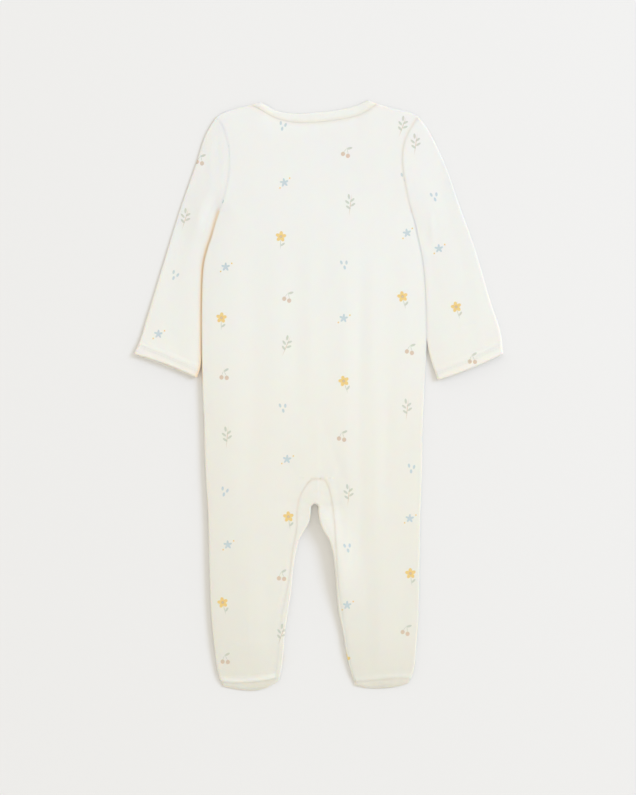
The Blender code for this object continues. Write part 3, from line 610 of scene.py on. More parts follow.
def leg_lift(plan):
    """How far the cloth stands off the floor along the inner edge of one leg."""
    leg = PLAN.fold.nearest(plan)
    on_side = (leg.travel > PLAN.fold.top) == (RAISED_LEG["side"] == "right")
    y = plan[:, 1]
    start, full, end = (RAISED_LEG[key] for key in ("from", "full", "to"))
    along = eased_from(y, start, full) * eased((end - y) / (end - full) * RAISED_LEG["steeper"])
    return RAISED_LEG["lift"] * along * bell(leg.distance, RAISED_LEG["reach"]) * on_side


def pressed_together(plan, off):
    """Share by which a fold rises to the cloth inside it, where a sleeve lies against the body."""
    x, y = plan.T
    return by_side(x, AGAINST) * eased_from(y, *AGAINST_FROM) * bell(off, AGAINST_REACH)


def neck_fall(plan):
    """How far the back has sunk to the floor near its neckline, where nothing lies below it."""
    off = PLAN.neck_free.nearest(plan).distance
    middle = eased((NECK_FALL["half_width"] - np.abs(plan[:, 0])) / NECK_FALL["ease"])
    return middle * bell(off, NECK_FALL["reach"])


def body_form(plan):
    """The body and legs: narrow folds, high at the waist and low at neck and feet."""
    x, y = plan.T
    fold, top, roll, crown = [np.interp(y, BODY["y"], BODY[key]) for key in Form._fields]
    right = eased_from(x, FLATTER["from"], FLATTER["to"])
    right *= eased((y - FLATTER_RUN["start"]) / FLATTER_RUN["ease"])
    right *= eased((FLATTER_RUN["end"] - y) / FLATTER_RUN["ease"])
    fold, top = fold * (1 - FLATTER["share"] * right), top * (1 - FLATTER["share"] * right)
    lift, fall = leg_lift(plan), neck_fall(plan)
    saddle = CROTCH_LIFT * bell(np.linalg.norm(plan - CROTCH, axis=1), CROTCH_REACH)
    top = top + lift + saddle - NECK_FALL["fall"] * fall
    fold = fold + RAISED_LEG["fold"] * lift
    fold = fold + (top - fold) * pressed_together(plan, off_lines(plan, PLAN.side.values()))
    across = eased((x / CROWN_HALF + 1) / 2)
    crown = crown * (1 - fall) * (CROWN["left"] + (CROWN["right"] - CROWN["left"]) * across)
    return Form(fold, top, roll, crown)


def sleeve_form(side):
    """A sleeve: as high as the body at the armhole, then lower, sloping down to the body."""
    def form(plan):
        off = PLAN.armhole[side].nearest(plan).distance
        outer = PLAN.outer[side].nearest(plan).distance
        inner = PLAN.inner[side].nearest(plan).distance
        beside = bell(inner, RISE_REACH) * eased_from(plan[:, 1], *AGAINST_FROM)
        down = eased(off / SLEEVE_EASE) * (1 - SLEEVE_RISE[side] * beside)
        own = [np.interp(off, SLEEVE["off"], SLEEVE[key]) for key in Form._fields]
        fold, top, roll, crown = [body + (low - body) * down
                                  for body, low in zip(body_form(plan), own)]
        fold = fold + (top - fold) * pressed_together(plan, inner) * down
        towards_body = eased(4 * outer / np.maximum(inner + outer, TINY) - 2)
        start, hold, end = INNER_SLOPE_RUN
        wide = eased(off / start) * eased((end - off) / (end - hold))
        wide *= np.maximum(INNER_SLOPE[side] - roll, 0)
        return Form(fold, top, roll + wide * towards_body, crown)
    return form


def rise(distance, width):
    """Share of its full height that a layer has this far in from a fold."""
    return np.sqrt(1 - (1 - np.clip(distance / width, 0, 1)) ** 2)


def facing_up(distance, width, height):
    """How far the cloth faces up this far in from a fold: 0 at the fold, 1 where it lies flat."""
    share = np.clip(distance / width, LEAST_SHARE, 1)
    slope = height / width * (1 - share) / np.sqrt(1 - (1 - share) ** 2)
    return 1 / np.sqrt(1 + slope ** 2)


def creases(plan):
    """Height that the creases add to the upper layer."""
    height = np.zeros(len(plan))
    for number, row in enumerate(zip(*CREASES.values())):
        x0, y0, x1, y1, half_width, lift, sway = row
        start, run = np.array([x0, y0]), np.array([x1 - x0, y1 - y0])
        reach = np.linalg.norm(run)
        offset = plan - start
        along = offset @ run / reach ** 2
        across = (offset[:, 0] * run[1] - offset[:, 1] * run[0]) / reach
        across -= sway * np.sin(CREASE_SWAY * along + number)
        ends = eased(along / CREASE_FADE + 0.5) * eased((1 - along) / CREASE_FADE + 0.5)
        height += lift * ends * bell(across, half_width)
    return height


def unevenness(plan):
    """Slow, small waves that cloth keeps when it is smoothed out by hand."""
    height = np.zeros(len(plan))
    for layer, (across, along, lift) in enumerate(zip(*UNEVEN.values())):
        scaled = plan / (across, along)
        level = UNEVEN_APART * layer
        height += lift * np.array([noise.noise(Vector((x, y, level))) for x, y in scaled])
    return height


def seamed(line, look, allowance=0.0, lip=0.0):
    """A seam along a line, with the height of the allowance and of a raised edge on this side."""
    return Seam(line, *SEAM_LOOKS[look], allowance, lip, fades=look == "arch")


def seam_share(seam, y):
    """How much of a seam shows: the inner-leg seam is pressed flat towards the feet."""
    return eased_from(y, *SEAM_FADE) if seam.fades else np.ones(len(y))


def lip_height(seam, off):
    """Height of the ridge of doubled cloth beside a seam."""
    return seam.lip * bell(off - LIP_AT, LIP_REACH)


def seam_relief(plan, seams):
    """Dip, pressed allowance and small gathers along seams."""
    (drift, drift_run), (vary, vary_run) = PUCKER_DRIFT, PUCKER_VARY
    height = np.zeros(len(plan))
    for seam in seams:
        near = seam.line.nearest(plan)
        off = near.distance
        shown = seam_share(seam, plan[:, 1])
        height -= seam.dip * shown * bell(off, seam.half_width)
        start, end = ALLOWANCE
        pressed = eased((off - start) / ALLOWANCE_EASE + 0.5)
        pressed *= 1 - eased((off - end) / ALLOWANCE_EASE + 0.5)
        height += seam.allowance * shown * pressed + lip_height(seam, off)
        wave = near.travel / PUCKER["spacing"] * 2 * math.pi
        gather = np.sin(wave + drift * np.sin(wave / drift_run))
        gather *= 1 - vary + vary * np.sin(wave / vary_run)
        height += PUCKER["lift"] * gather * np.exp(-off / PUCKER["reach"])
    return height


# ---- Pieces ----

def placed(name, data):
    """A new object in the scene, with this mesh, light or camera."""
    thing = bpy.data.objects.new(name, data)
    bpy.context.scene.collection.objects.link(thing)
    return thing


class Piece:
    """One cut piece: fine nets of plan points, each on the upper (1) or lower (-1) layer."""

    def __init__(self, name, folded_at, seams, wraps, form=body_form, lift=None, free=()):
        self.name, self.folded_at, self.seams, self.wraps = name, folded_at, seams, wraps
        self.form, self.lift, self.free = form, lift, free
        self.cut = None       # flat width and length
        self.against = []     # folds that a neighbour lies against, and how far in the painted shade beside them reaches
        self.plan, self.layer, self.reach = [], [], []
        self.faces, self.grain = [], []
        self.index = {}
        self.area = 0.0

    def lay(self, net, layer, grain, reach=WALL_REACH):
        """Add a net (rows x columns of plan points) on one layer, with its points of grain."""
        rows, columns = net.shape[:2]
        plan = net.reshape(-1, 2)
        on_fold = off_lines(plan, self.folded_at) < ON_LINE
        levels = np.where(on_fold & self.wraps, 0, layer)
        reach = np.broadcast_to(reach, (rows, columns)).ravel()
        at = []
        for key, point, far in zip(zip(*plan.round(3).T, levels), plan, reach):
            if key not in self.index:
                self.index[key] = len(self.plan)
                self.plan.append(point)
                self.layer.append(key[2])
                self.reach.append(far)
            at.append(self.index[key])
        at = np.array(at).reshape(rows, columns)
        corners = np.stack([at[:-1, :-1], at[:-1, 1:], at[1:, 1:], at[1:, :-1]], -1).reshape(-1, 4)
        threads = np.stack([grain[:-1, :-1], grain[:-1, 1:], grain[1:, 1:], grain[1:, :-1]], 2)
        for face, thread in zip(corners.tolist(), threads.reshape(-1, 4, 2)):
            kept = [k for k in range(4) if face[k] not in face[:k]]
            if len(kept) > 2:
                self.faces.append([face[k] for k in kept])
                self.grain.append([thread[k] for k in kept])
        a, b, c, d = net[:-1, :-1], net[:-1, 1:], net[1:, 1:], net[1:, :-1]
        cross = (c - a)[..., 0] * (d - b)[..., 1] - (c - a)[..., 1] * (d - b)[..., 0]
        self.area += abs(cross.sum()) / 2

    def surface(self, plan, layer, edge=False):
        """Height of the outer face at plan points, and of the wall's inner face below it."""
        inset = np.where(edge, 0.0, off_lines(plan, PLAN.outline))
        form = self.form(plan)
        full = form.top - form.fold
        full += creases(plan) * eased(inset / np.minimum(form.roll, CREASE_EDGE))
        full += unevenness(plan) * eased(inset / form.roll)
        reach = by_side(plan[:, 0], CROWN_REACH)
        full += form.crown * (1 - np.exp(-np.clip(inset - form.roll, 0, None) / reach))
        full += seam_relief(plan, self.seams)
        if self.lift:
            full += self.lift(plan)
        upper = form.fold + full * rise(inset, form.roll)
        lower = form.fold - form.fold * rise(inset, UNDER_ROLL)
        height = np.where(layer > 0, upper, np.where(layer < 0, lower, form.fold))
        flat = np.where(layer > 0, facing_up(inset, form.roll, form.top - form.fold),
                        facing_up(inset, UNDER_ROLL, form.fold))
        parted = edge & (layer != 0)
        height = np.where(parted, form.fold + layer * SEAM_GAP / 2, height)
        below = height - np.where(parted, 0.0, WALL * flat * np.sign(layer))
        inside = np.maximum(form.top - WALL, form.fold / 2)
        return height, np.where(edge, np.minimum(below, inside), below)

    def rim(self):
        """Edges that belong to one face only."""
        used = {}
        for number, face in enumerate(self.faces):
            for a, b in zip(face, face[1:] + face[:1]):
                used.setdefault((min(a, b), max(a, b)), []).append(number)
        return [(key, faces[0]) for key, faces in used.items() if len(faces) == 1]

    def part_at_seams(self, plan, rim):
        """Draw the rim back by half the gap at each seam; keep the seam's direction there."""
        beside = {p: set() for edge, _ in rim for p in edge}
        for face in self.faces:
            for p in face:
                if p in beside:
                    beside[p].update(face)
        rim_points = np.array(sorted(beside))
        seam_way, shift, outward = np.zeros_like(plan), np.zeros_like(plan), np.zeros_like(plan)
        found = [seam.line.nearest(plan[rim_points]) for seam in self.seams]
        sewn_points = {p for near in found for p in rim_points[near.distance < ON_LINE].tolist()}
        for near in found:
            sewn = near.distance < ON_LINE
            for p, way in zip(rim_points[sewn].tolist(), near.tangent[sewn]):
                cloth = np.array([plan[q] - plan[p] for q in beside[p] - sewn_points])
                nearest = cloth[np.linalg.norm(cloth, axis=1).argmin()]
                across = quarter_turn(way)
                shift[p] += across * np.sign(nearest @ across) * SEAM_GAP / 2
                seam_way[p] = way
        for line in self.free:
            near = line.nearest(plan[rim_points])
            free = near.distance < ON_LINE
            for p, way in zip(rim_points[free].tolist(), near.tangent[free]):
                cloth = np.mean([plan[q] - plan[p] for q in beside[p]], axis=0)
                across = quarter_turn(way)
                outward[p] = -across * np.sign(cloth @ across) * WALL * RIM_ROUND
        return plan + shift, seam_way, outward

    def points(self):
        """Outer and inner points of the wall, and those of the middle of its rim."""
        drawn, layer = np.array(self.plan), np.array(self.layer, float)
        reach = np.array(self.reach)[:, None]
        rim = self.rim()
        edge = off_lines(drawn, PLAN.outline) < ON_LINE
        plan, seam_way, outward = self.part_at_seams(drawn, rim)

        inner = np.zeros_like(plan)
        for line in self.folded_at:
            near = line.nearest(drawn)
            inner += WALL * near.away * np.clip(1 - near.distance[:, None] / reach, 0, 1)
        for seam in self.seams:
            near = seam.line.nearest(drawn)
            across = quarter_turn(near.tangent)
            stray = (inner * across).sum(1) * (1 - eased(near.distance / SEAM_REACH))
            inner -= stray[:, None] * across
        turned = edge & (np.linalg.norm(inner, axis=1) < WALL / 2)
        inner[turned] = WALL * self.off_folds(drawn[turned])

        height, below = self.surface(plan, layer, edge)
        outer_points = np.column_stack([plan, height])
        inner_points = np.column_stack([plan + inner, below])
        middle = (outer_points + inner_points) / 2 + np.column_stack([outward, 0 * height])
        return outer_points, inner_points, middle, rim, np.any(seam_way, axis=1)

    def off_folds(self, plan):
        """Direction off the nearest fold at each point."""
        near = [line.nearest(plan) for line in self.folded_at]
        best = np.argmin([n.distance for n in near], axis=0)
        return np.array([near[k].away[i] for i, k in enumerate(best)]).reshape(-1, 2)

    def warmth(self, plan):
        """How far the cloth is tinted warm near its seams, partly their own line and partly
        painted shade, and beside a gap, all painted shade.
        """
        x, y = plan.T
        warm = np.zeros(len(plan))
        for seam in self.seams:
            off = seam.line.nearest(plan).distance
            warm += seam.warmth * seam_share(seam, y) * bell(off, seam.half_width)
        beside = by_side(x, GAP_PAINTED_SHADE) * eased((y - AGAINST_FROM[0]) / GAP_EASE)
        for line, reach in self.against:
            warm += beside * bell(line.nearest(plan).distance, reach)
        return warm.astype("f")

    def light(self, plan):
        """Painted highlight on the ridge above a sole seam, as a share of its tone."""
        light = np.zeros(len(plan))
        for seam in self.seams:
            if seam.lip:
                light += LIP_PAINTED_HIGHLIGHT * lip_height(seam, seam.line.nearest(plan).distance)
        return light.astype("f")

    def pressed_edge(self, plan):
        """Points of the folds that are pressed against a neighbour."""
        pressed = np.zeros(len(plan), bool)
        for line, _ in self.against:
            pressed |= line.nearest(plan).distance < ON_LINE
        return pressed & (plan[:, 1] > sum(AGAINST_FROM) / 2)

    def shell(self, material):
        """Close the wall round its rim and make the object."""
        outer, inner, middle, rim, sewn = self.points()
        count = len(outer)
        rim_points = sorted({p for edge, _ in rim for p in edge})
        between = {p: 2 * count + k for k, p in enumerate(rim_points)}
        points = np.vstack([outer, inner, middle[rim_points]])
        plan = points[:, :2].copy()
        points[:, :2] -= PLAN.middle
        faces = list(self.faces)
        grain = list(self.grain)
        faces += [[p + count for p in reversed(face)] for face in self.faces]
        grain += [thread[::-1] for thread in self.grain]
        for (a, b), number in rim:
            face, thread = self.faces[number], self.grain[number]
            at_a, at_b = thread[face.index(a)], thread[face.index(b)]
            faces += [[a, b, between[b], between[a]],
                      [between[a], between[b], b + count, a + count]]
            grain += [[at_a, at_b, at_b, at_a]] * 2
        data = bpy.data.meshes.new(self.name)
        data.from_pydata((points * MM).tolist(), [], faces)
        grain_map = data.uv_layers.new(name="grain")
        grain_map.data.foreach_set("uv", (np.concatenate(grain) * MM).ravel().astype("f"))
        mesh = bmesh.new()
        mesh.from_mesh(data)
        bmesh.ops.recalc_face_normals(mesh, faces=mesh.faces)
        mesh.verts.ensure_lookup_table()
        for (a, b), _ in rim:
            if sewn[a] and sewn[b]:
                mesh.edges.get((mesh.verts[a], mesh.verts[b])).smooth = False
        pressed = self.pressed_edge(plan[:count])
        for edge in mesh.edges:
            a, b = [vertex.index for vertex in edge.verts]
            if max(a, b) < count and pressed[a] and pressed[b]:
                edge.smooth = False
        mesh.to_mesh(data)
        mesh.free()
        data.shade_smooth()
        data.materials.append(material)
        # the cloth's painted shade and painted highlight, as attributes for its material
        for name, values in (("warm_shade_at_seams", self.warmth(plan)), ("heel_painted_highlight", self.light(plan))):
            data.attributes.new(name, "FLOAT", "POINT").data.foreach_set("value", values)
        return placed("cloth_" + self.name, data)


def top_row(side, neck, columns):
    """Top edge of half a panel: shoulder point to neck tip, then the neckline to its middle."""
    shoulder = PLAN.as_given(PLAN.shoulder, side)
    reach = shoulder.length - shoulder.travel[LINE_STEPS]
    at_shoulder = round(columns * SHOULDER_SHARE)
    along = np.concatenate([ROLL[:-1], np.linspace(ROLL[-1], reach, at_shoulder + 1)])
    half = neck.turned(side == "right")
    rest = columns - at_shoulder - len(ROLL) + 1
    down = np.concatenate([ROLL[1:-1], np.linspace(ROLL[-1], half.length / 2, rest + 1)])
    return np.vstack([shoulder.at(shoulder.length - along), half.at(down)])


def armhole_distances(side):
    """Where rows of the body and columns of the sleeve meet an armhole seam."""
    length = PLAN.armhole[side].length
    mean = np.mean([line.length for line in PLAN.armhole.values()])
    return graded(mean, ROLL, SEAM) * length / mean


def across(start, end, columns):
    """Points of a straight row, close together where it folds over at its start."""
    reach = np.linalg.norm(end - start)
    share = np.concatenate([ROLL[:-1], np.linspace(ROLL[-1], reach, columns + 1)]) / reach
    return start + (end - start) * share[:, None]


def half_panel(side, neck, inner_leg, columns):
    """Net of half the back or front, from its outer edge to the middle and the inner leg."""
    top = top_row(side, neck, columns)
    share = np.concatenate([[0], np.cumsum(np.linalg.norm(np.diff(top, axis=0), axis=1))])
    share /= share[-1]
    armhole = PLAN.armhole[side]
    middle_end = np.array([0.0, armhole.points[-1][1]])
    rows = []
    for distance in armhole_distances(side):
        down = distance / armhole.length
        outer = armhole.at(distance)
        middle = top[-1] + (middle_end - top[-1]) * down
        hung = top + np.outer(1 - share, outer - top[0]) + np.outer(share, middle - top[-1])
        flat = eased(down)
        rows.append(hung * (1 - flat) + across(outer, middle, columns) * flat)
    crotch = inner_leg[0]
    for fall in graded(middle_end[1] - crotch[1])[1:-1]:
        y = middle_end[1] - fall
        middle = np.array([crotch[0] * fall / (middle_end[1] - crotch[1]), y])
        rows.append(across(PLAN.on_side(side, y), middle, columns))
    shares = foot_shares()[1:]
    for inner in inner_leg[:-len(shares)]:
        rows.append(across(PLAN.on_side(side, inner[1]), inner, columns))
    side_line, heel = PLAN.side[side], PLAN.sole_seam[side]
    reach = heel.where(0, inner_leg[-1][0])
    last = heel.at(np.concatenate([ROLL[:-1], np.linspace(ROLL[-1], reach, columns + 1)]))
    bulge = last - across(last[0], last[-1], columns)
    travel = [side_line.where(1, y) for y in (inner_leg[-len(shares) - 1][1], last[0][1])]
    for s, inner in zip(shares, inner_leg[-len(shares):]):
        outer = side_line.at(travel[0] + (travel[1] - travel[0]) * s)
        rows.append(across(outer, inner, columns) + bulge * s ** 2)
    return np.array(rows)


def panel(name, layer, neck, station, seams):
    """The back or the front: both halves, meeting down the middle as far as the crotch.

    station says which of the leg stations its inner leg follows.
    """
    folded_at = [*PLAN.shoulder.values(), *PLAN.side.values()]
    piece = Piece(name, folded_at, seams, wraps=False)
    piece.against = [(line, GAP_REACH["body"]) for line in PLAN.side.values()]
    for side in SIDES:
        inner_leg = PLAN.leg_stations(side)[station]
        net = half_panel(side, neck, inner_leg, PANEL_COLUMNS[layer])
        grain = net if layer > 0 else net * (-1, 1)
        piece.lay(net, layer, grain)
    drawn = np.array(piece.plan)
    piece.cut = drawn.max(0) - drawn.min(0)
    return piece


def back():
    lift = ALLOWANCE_LIFT["body"]
    seams = [seamed(PLAN.neck, "neck", lift), seamed(PLAN.leg_seam, "arch", lift)]
    seams += [seamed(PLAN.armhole[side], side + " armhole") for side in SIDES]
    seams += [seamed(PLAN.sole_seam[side], "sole", lip=HEEL_LIP[side]) for side in SIDES]
    return panel("back", 1, PLAN.neck, 0, seams)


def front():
    lines = [PLAN.front_neck, PLAN.under_seam, *PLAN.armhole.values(), *PLAN.sole_seam.values()]
    return panel("front", -1, PLAN.front_neck, 2, [seamed(line, "hidden") for line in lines])


def sleeve_rows(side):
    """Distances down from the armhole of the rows of a sleeve, as shares of its length."""
    length = PLAN.outer[side].length
    head = graded(length - HEM_DEPTH - HEM_STEP, SEAM)
    hem = HEM_DEPTH - np.array([-HEM_STEP / 2, 0, HEM_STEP / 2, *HEM_ROWS])
    return np.concatenate([head, length - hem, [length]]) / length


def sleeve_net(side, peek=0.0):
    """Rows from the armhole to the cuff, each from the outer fold to the underarm fold."""
    armhole = PLAN.armhole[side]
    outer = PLAN.as_given(PLAN.outer, side)
    inner = PLAN.inner[side].turned(side == "left")
    distances = armhole_distances(side)
    share = (distances / armhole.length)[:, None]
    head = armhole.at(distances)
    bulge = head - (head[0] + (head[-1] - head[0]) * share)
    way = (outer.at(outer.length) - outer.at(outer.length - HEM_DEPTH)) / HEM_DEPTH
    count = len(distances) - 2 * len(ROLL) + 2
    rows = []
    for down in sleeve_rows(side):
        start, end = outer.at(down * outer.length), inner.at(down * inner.length)
        reach = np.linalg.norm(end - start)
        step = np.concatenate([ROLL[:-1], np.linspace(ROLL[-1], reach - ROLL[-1], count),
                               reach - np.array(ROLL[-2::-1])])
        even = (step / reach)[:, None]
        blend = eased(down * HEAD_PARTS)
        along = even * blend + share * (1 - blend)
        bow = (CUFF_BOW[side] * down ** 4 - peek * eased_from(down, PEEK_START, 1)) * way
        bow = bow * 4 * along * (1 - along)
        beside = np.minimum(along, 1 - along) * reach / BULGE_REACH
        kept = 1 - (1 - eased(beside)) * eased(down * outer.length / BULGE_EASE)
        rows.append(start + (end - start) * along + bulge * (1 - down) ** 2 * kept + bow)
    return np.array(rows)


def sleeve_grain(side, net, layer):
    """Points of the grain: the sleeve was cut upright, so it leans with the sleeve."""
    angle = math.radians(SLEEVE_GRAIN[side])
    turn = np.array([[math.cos(angle), -math.sin(angle)], [math.sin(angle), math.cos(angle)]])
    upright = (net - net[0, 0]) @ turn
    return upright * (layer, 1) + GRAIN_START[side]


def sleeve(side):
    """One sleeve: both layers, folded at the outer edge and closed along the underarm."""
    nets = {1: sleeve_net(side, CUFF_PEEK[side]), -1: sleeve_net(side)}
    cuffs = {layer: Line(net[-1]) for layer, net in nets.items()}

    def hem(plan):
        up = cuffs[1].nearest(plan).distance
        step = 1 - eased((up - HEM_DEPTH) / HEM_STEP + 0.5)
        return HEM_LIFT * step * eased(up / HEM_EDGE)

    seam = seamed(PLAN.armhole[side], side + " armhole", ALLOWANCE_LIFT["sleeve"])
    piece = Piece("sleeve_" + side, [PLAN.outer[side], PLAN.inner[side]], [seam], wraps=True,
                  form=sleeve_form(side), lift=hem, free=list(cuffs.values()))
    for layer, net in nets.items():
        piece.lay(net, layer, sleeve_grain(side, net, layer))
    piece.against = [(PLAN.inner[side], GAP_REACH["sleeve"])]
    widest = np.linalg.norm(net[:, -1] - net[:, 0], axis=1).max()
    piece.cut = (2 * widest, PLAN.outer[side].length)
    return piece


def shoulder_tip(side, share):
    """Point of the shoulder line under the neckband, from its seam (0) to its free edge (1)."""
    line = PLAN.as_given(PLAN.shoulder, side)
    return line.at(line.travel[LINE_STEPS] * (1 - share))


def neckband():
    """A ring round the neck: its back half on the upper layer, its front half on the lower."""
    halves = {1: (PLAN.neck, PLAN.neck_free), -1: (PLAN.front_neck, PLAN.front_neck_free)}

    def fullness(plan):
        seam, free = (line.nearest(plan).distance for line in halves[1])
        across_band = seam / np.maximum(seam + free, TINY)
        return NECKBAND_LIFT * np.sqrt(np.clip(4 * across_band * (1 - across_band), 0, 1))

    seams = [seamed(PLAN.front_neck, "neck"), seamed(PLAN.neck, "neck")]
    piece = Piece("neckband", list(PLAN.shoulder.values()), seams, wraps=True, lift=fullness,
                  free=[PLAN.neck_free, PLAN.front_neck_free])
    shares = graded(PLAN.neck.length, ROLL, ROLL) / PLAN.neck.length
    for layer, (seam, free) in halves.items():
        sewn, edge = seam.at(shares * seam.length), free.at(shares * free.length)
        net = sewn + (edge - sewn) * np.array(NECKBAND_ROWS)[:, None, None]
        for row, share in zip(net, NECKBAND_ROWS):
            row[[0, -1]] = [shoulder_tip(side, share) for side in SIDES]
        travel = np.broadcast_to(shares * PLAN.neck.length, net.shape[:2])
        width = np.array(NECKBAND_ROWS)[:, None] * NECKBAND_WIDTH * np.ones(len(shares))
        piece.lay(net, layer, np.stack([travel, width], -1))
    piece.cut = (NECKBAND_CUT, PLAN.neck_free.length + PLAN.front_neck_free.length)
    return piece


def band_net(fold_at, sewn_at):
    """Rows down one leg, each from the band's seam to its fold."""
    share = np.linspace(1, 0, BAND_COLUMNS + 1)[:, None] ** BAND_GRADE
    return fold_at[:, None] + (sewn_at - fold_at)[:, None] * share


def inner_leg_band():
    """A narrow band round the crotch and down both inner legs, folded under along its length."""
    seams = [seamed(PLAN.leg_seam, "arch"), seamed(PLAN.under_seam, "hidden")]
    seams += [seamed(line, "sole") for line in PLAN.sole_seam.values()]
    piece = Piece("inner_leg_band", [PLAN.fold], seams, wraps=True)
    foot = foot_shares()[1:]
    for side in SIDES:
        seam_at, fold_at, under_at = PLAN.leg_stations(side)
        for layer, sewn in ((1, seam_at), (-1, under_at)):
            net = band_net(fold_at, sewn)
            width = np.linalg.norm(sewn - fold_at, axis=1)[:, None]
            end = PLAN.on_sole_seam(side, net[-1, :, 0])
            net[-len(foot):] += (end - net[-1]) * (foot ** 2)[:, None, None]
            piece.lay(net, layer, net * (layer, 1), reach=np.minimum(width, WALL_REACH))
    piece.cut = (piece.area / PLAN.fold.length, PLAN.fold.length)
    return piece


def sole(side):
    """The lens that closes a leg: it folds over the end of the foot from seam to seam."""
    seam, end = PLAN.sole_seam[side], PLAN.as_given(PLAN.foot_end, side)
    side_line = PLAN.as_given(PLAN.side, side)
    piece = Piece("sole_" + side, [PLAN.side[side], PLAN.fold, PLAN.foot_end[side]],
                  [seamed(seam, "sole")], wraps=True)
    rim_at = graded(seam.length, ROLL, ROLL, SOLE_STEP)
    rim = seam.at(rim_at)
    spine = end.at(rim_at * end.length / seam.length)
    net = rim + (spine - rim) * np.array(SOLE_ROWS)[:, None, None]
    side_from, side_to = side_line.where(1, rim[0][1]), side_line.length
    fold_from, fold_to = [PLAN.fold.travel_at(side, line[-1][1]) for line in (rim, spine)]
    for row, share in zip(net, SOLE_ROWS):
        row[0] = side_line.at(side_from + (side_to - side_from) * share)
        row[-1] = PLAN.fold.at(fold_from + (fold_to - fold_from) * share)
    width = np.linalg.norm(spine - rim, axis=1)
    for layer in (1, -1):
        piece.lay(net, layer, net * (layer, 1), reach=np.minimum(width, WALL_REACH)[None])
    piece.cut = (seam.length, 2 * width.max())
    return piece


# ---- Nodes ----

class Output:
    """One output of a node. Where it is a number, arithmetic on it is written as usual."""

    def __init__(self, nodes, socket):
        self.nodes, self.socket = nodes, socket

    def __add__(self, other):
        return self.nodes.math("ADD", self, other)

    def __sub__(self, other):
        return self.nodes.math("SUBTRACT", self, other)

    def __rsub__(self, other):
        return self.nodes.math("SUBTRACT", other, self)

    def __mul__(self, other):
        return self.nodes.math("MULTIPLY", self, other)

    def __truediv__(self, other):
        return self.nodes.math("DIVIDE", self, other)

    def __mod__(self, other):
        return self.nodes.math("FLOORED_MODULO", self, other)

    __radd__, __rmul__ = __add__, __mul__

    def of(self, key):
        """Another output of the same node."""
        return Output(self.nodes, self.socket.node.outputs[key])


class Nodes:
    """Adds nodes to one tree."""

    def __init__(self, tree):
        self.tree = tree

    def add(self, kind, values=(), out=0, **settings):
        """A node with its settings and with values or links on its inputs; gives one output."""
        node = self.tree.nodes.new(kind)
        for name, setting in settings.items():
            setattr(node, name, setting)
        for key, value in dict(values).items():
            if isinstance(value, Output):
                self.tree.links.new(value.socket, node.inputs[key])
            else:
                node.inputs[key].default_value = value
        return Output(self, node.outputs[out]) if len(node.outputs) else None

    def math(self, operation, *values):
        return self.add("ShaderNodeMath", dict(enumerate(values)), operation=operation)

    def join(self, x, y, z=0.0):
        """A vector from its parts."""
        return self.add("ShaderNodeCombineXYZ", {0: x, 1: y, 2: z})


# ---- Stitches ----

def stitch_tree():
    """Nodes that lay a running stitch along drawn lines."""
    tree = bpy.data.node_groups.new("running_stitch", "GeometryNodeTree")
    sockets = tree.interface
    sockets.new_socket("Stitches", in_out="OUTPUT", socket_type="NodeSocketGeometry")
    kinds = {"Lines": "Geometry", "Pitch": "Float", "Length": "Float", "Thickness": "Float",
             "Seed": "Int", "Thread": "Material"}
    for name, kind in kinds.items():
        sockets.new_socket(name, in_out="INPUT", socket_type="NodeSocket" + kind)

    nodes = Nodes(tree)
    given = nodes.add("NodeGroupInput")
    curve = nodes.add("GeometryNodeMeshToCurve", {"Mesh": given.of("Lines")})
    spaced = nodes.add("GeometryNodeResampleCurve",
                       {"Curve": curve, "Length": given.of("Pitch")}, mode="LENGTH")
    ball = nodes.add("GeometryNodeMeshUVSphere", {"Segments": 8, "Rings": 6, "Radius": 0.5})
    stitch = nodes.add("GeometryNodeSetShadeSmooth", {"Geometry": ball})
    tangent = nodes.add("GeometryNodeInputTangent")
    turn = nodes.add("FunctionNodeAlignRotationToVector", {"Vector": tangent}, axis="Z")
    least, most = STITCH_VARY
    vary = nodes.add("FunctionNodeRandomValue", {"Seed": given.of("Seed"), 2: least, 3: most},
                     out=1, data_type="FLOAT")
    thick = given.of("Thickness")
    size = nodes.join(thick, thick, given.of("Length") * vary)
    row = nodes.add("GeometryNodeInstanceOnPoints",
                    {"Points": spaced, "Instance": stitch, "Rotation": turn, "Scale": size})
    real = nodes.add("GeometryNodeRealizeInstances", {"Geometry": row})
    sewn = nodes.add("GeometryNodeSetMaterial", {"Geometry": real, "Material": given.of("Thread")})
    nodes.add("NodeGroupOutput", {"Stitches": sewn})
    return tree


def stitches(name, tree, lines, thread, seed):
    """Rows of stitches along lines of points in metres, as one piece."""
    data = bpy.data.meshes.new(name)
    points = np.concatenate(lines)
    starts = np.cumsum([0] + [len(line) for line in lines])
    edges = [(i, i + 1) for a, b in zip(starts, starts[1:]) for i in range(a, b - 1)]
    data.from_pydata(points.tolist(), edges, [])
    drawn = placed(name + "_drawn", data)
    modifier = drawn.modifiers.new("stitch", "NODES")
    modifier.node_group = tree
    given = {size.title(): STITCH[size] * MM for size in ("pitch", "length", "thickness")}
    given.update(Seed=seed, Thread=thread)
    for socket in tree.interface.items_tree:
        if socket.in_out == "INPUT" and socket.name in given:
            modifier[socket.identifier] = given[socket.name]
    finished = drawn.evaluated_get(bpy.context.evaluated_depsgraph_get())
    sewn = bpy.data.meshes.new_from_object(finished)
    sewn.name = name
    row = placed(name, sewn)
    bpy.data.objects.remove(drawn, do_unlink=True)
    return row


def on_cloth(piece, plan, layer):
    """Points in metres that lie on a piece's outer face, given on the plan."""
    height, _ = piece.surface(plan, np.full(len(plan), layer))
    points = np.column_stack([plan - PLAN.middle, height + layer * STITCH["raised"]])
    return points * MM


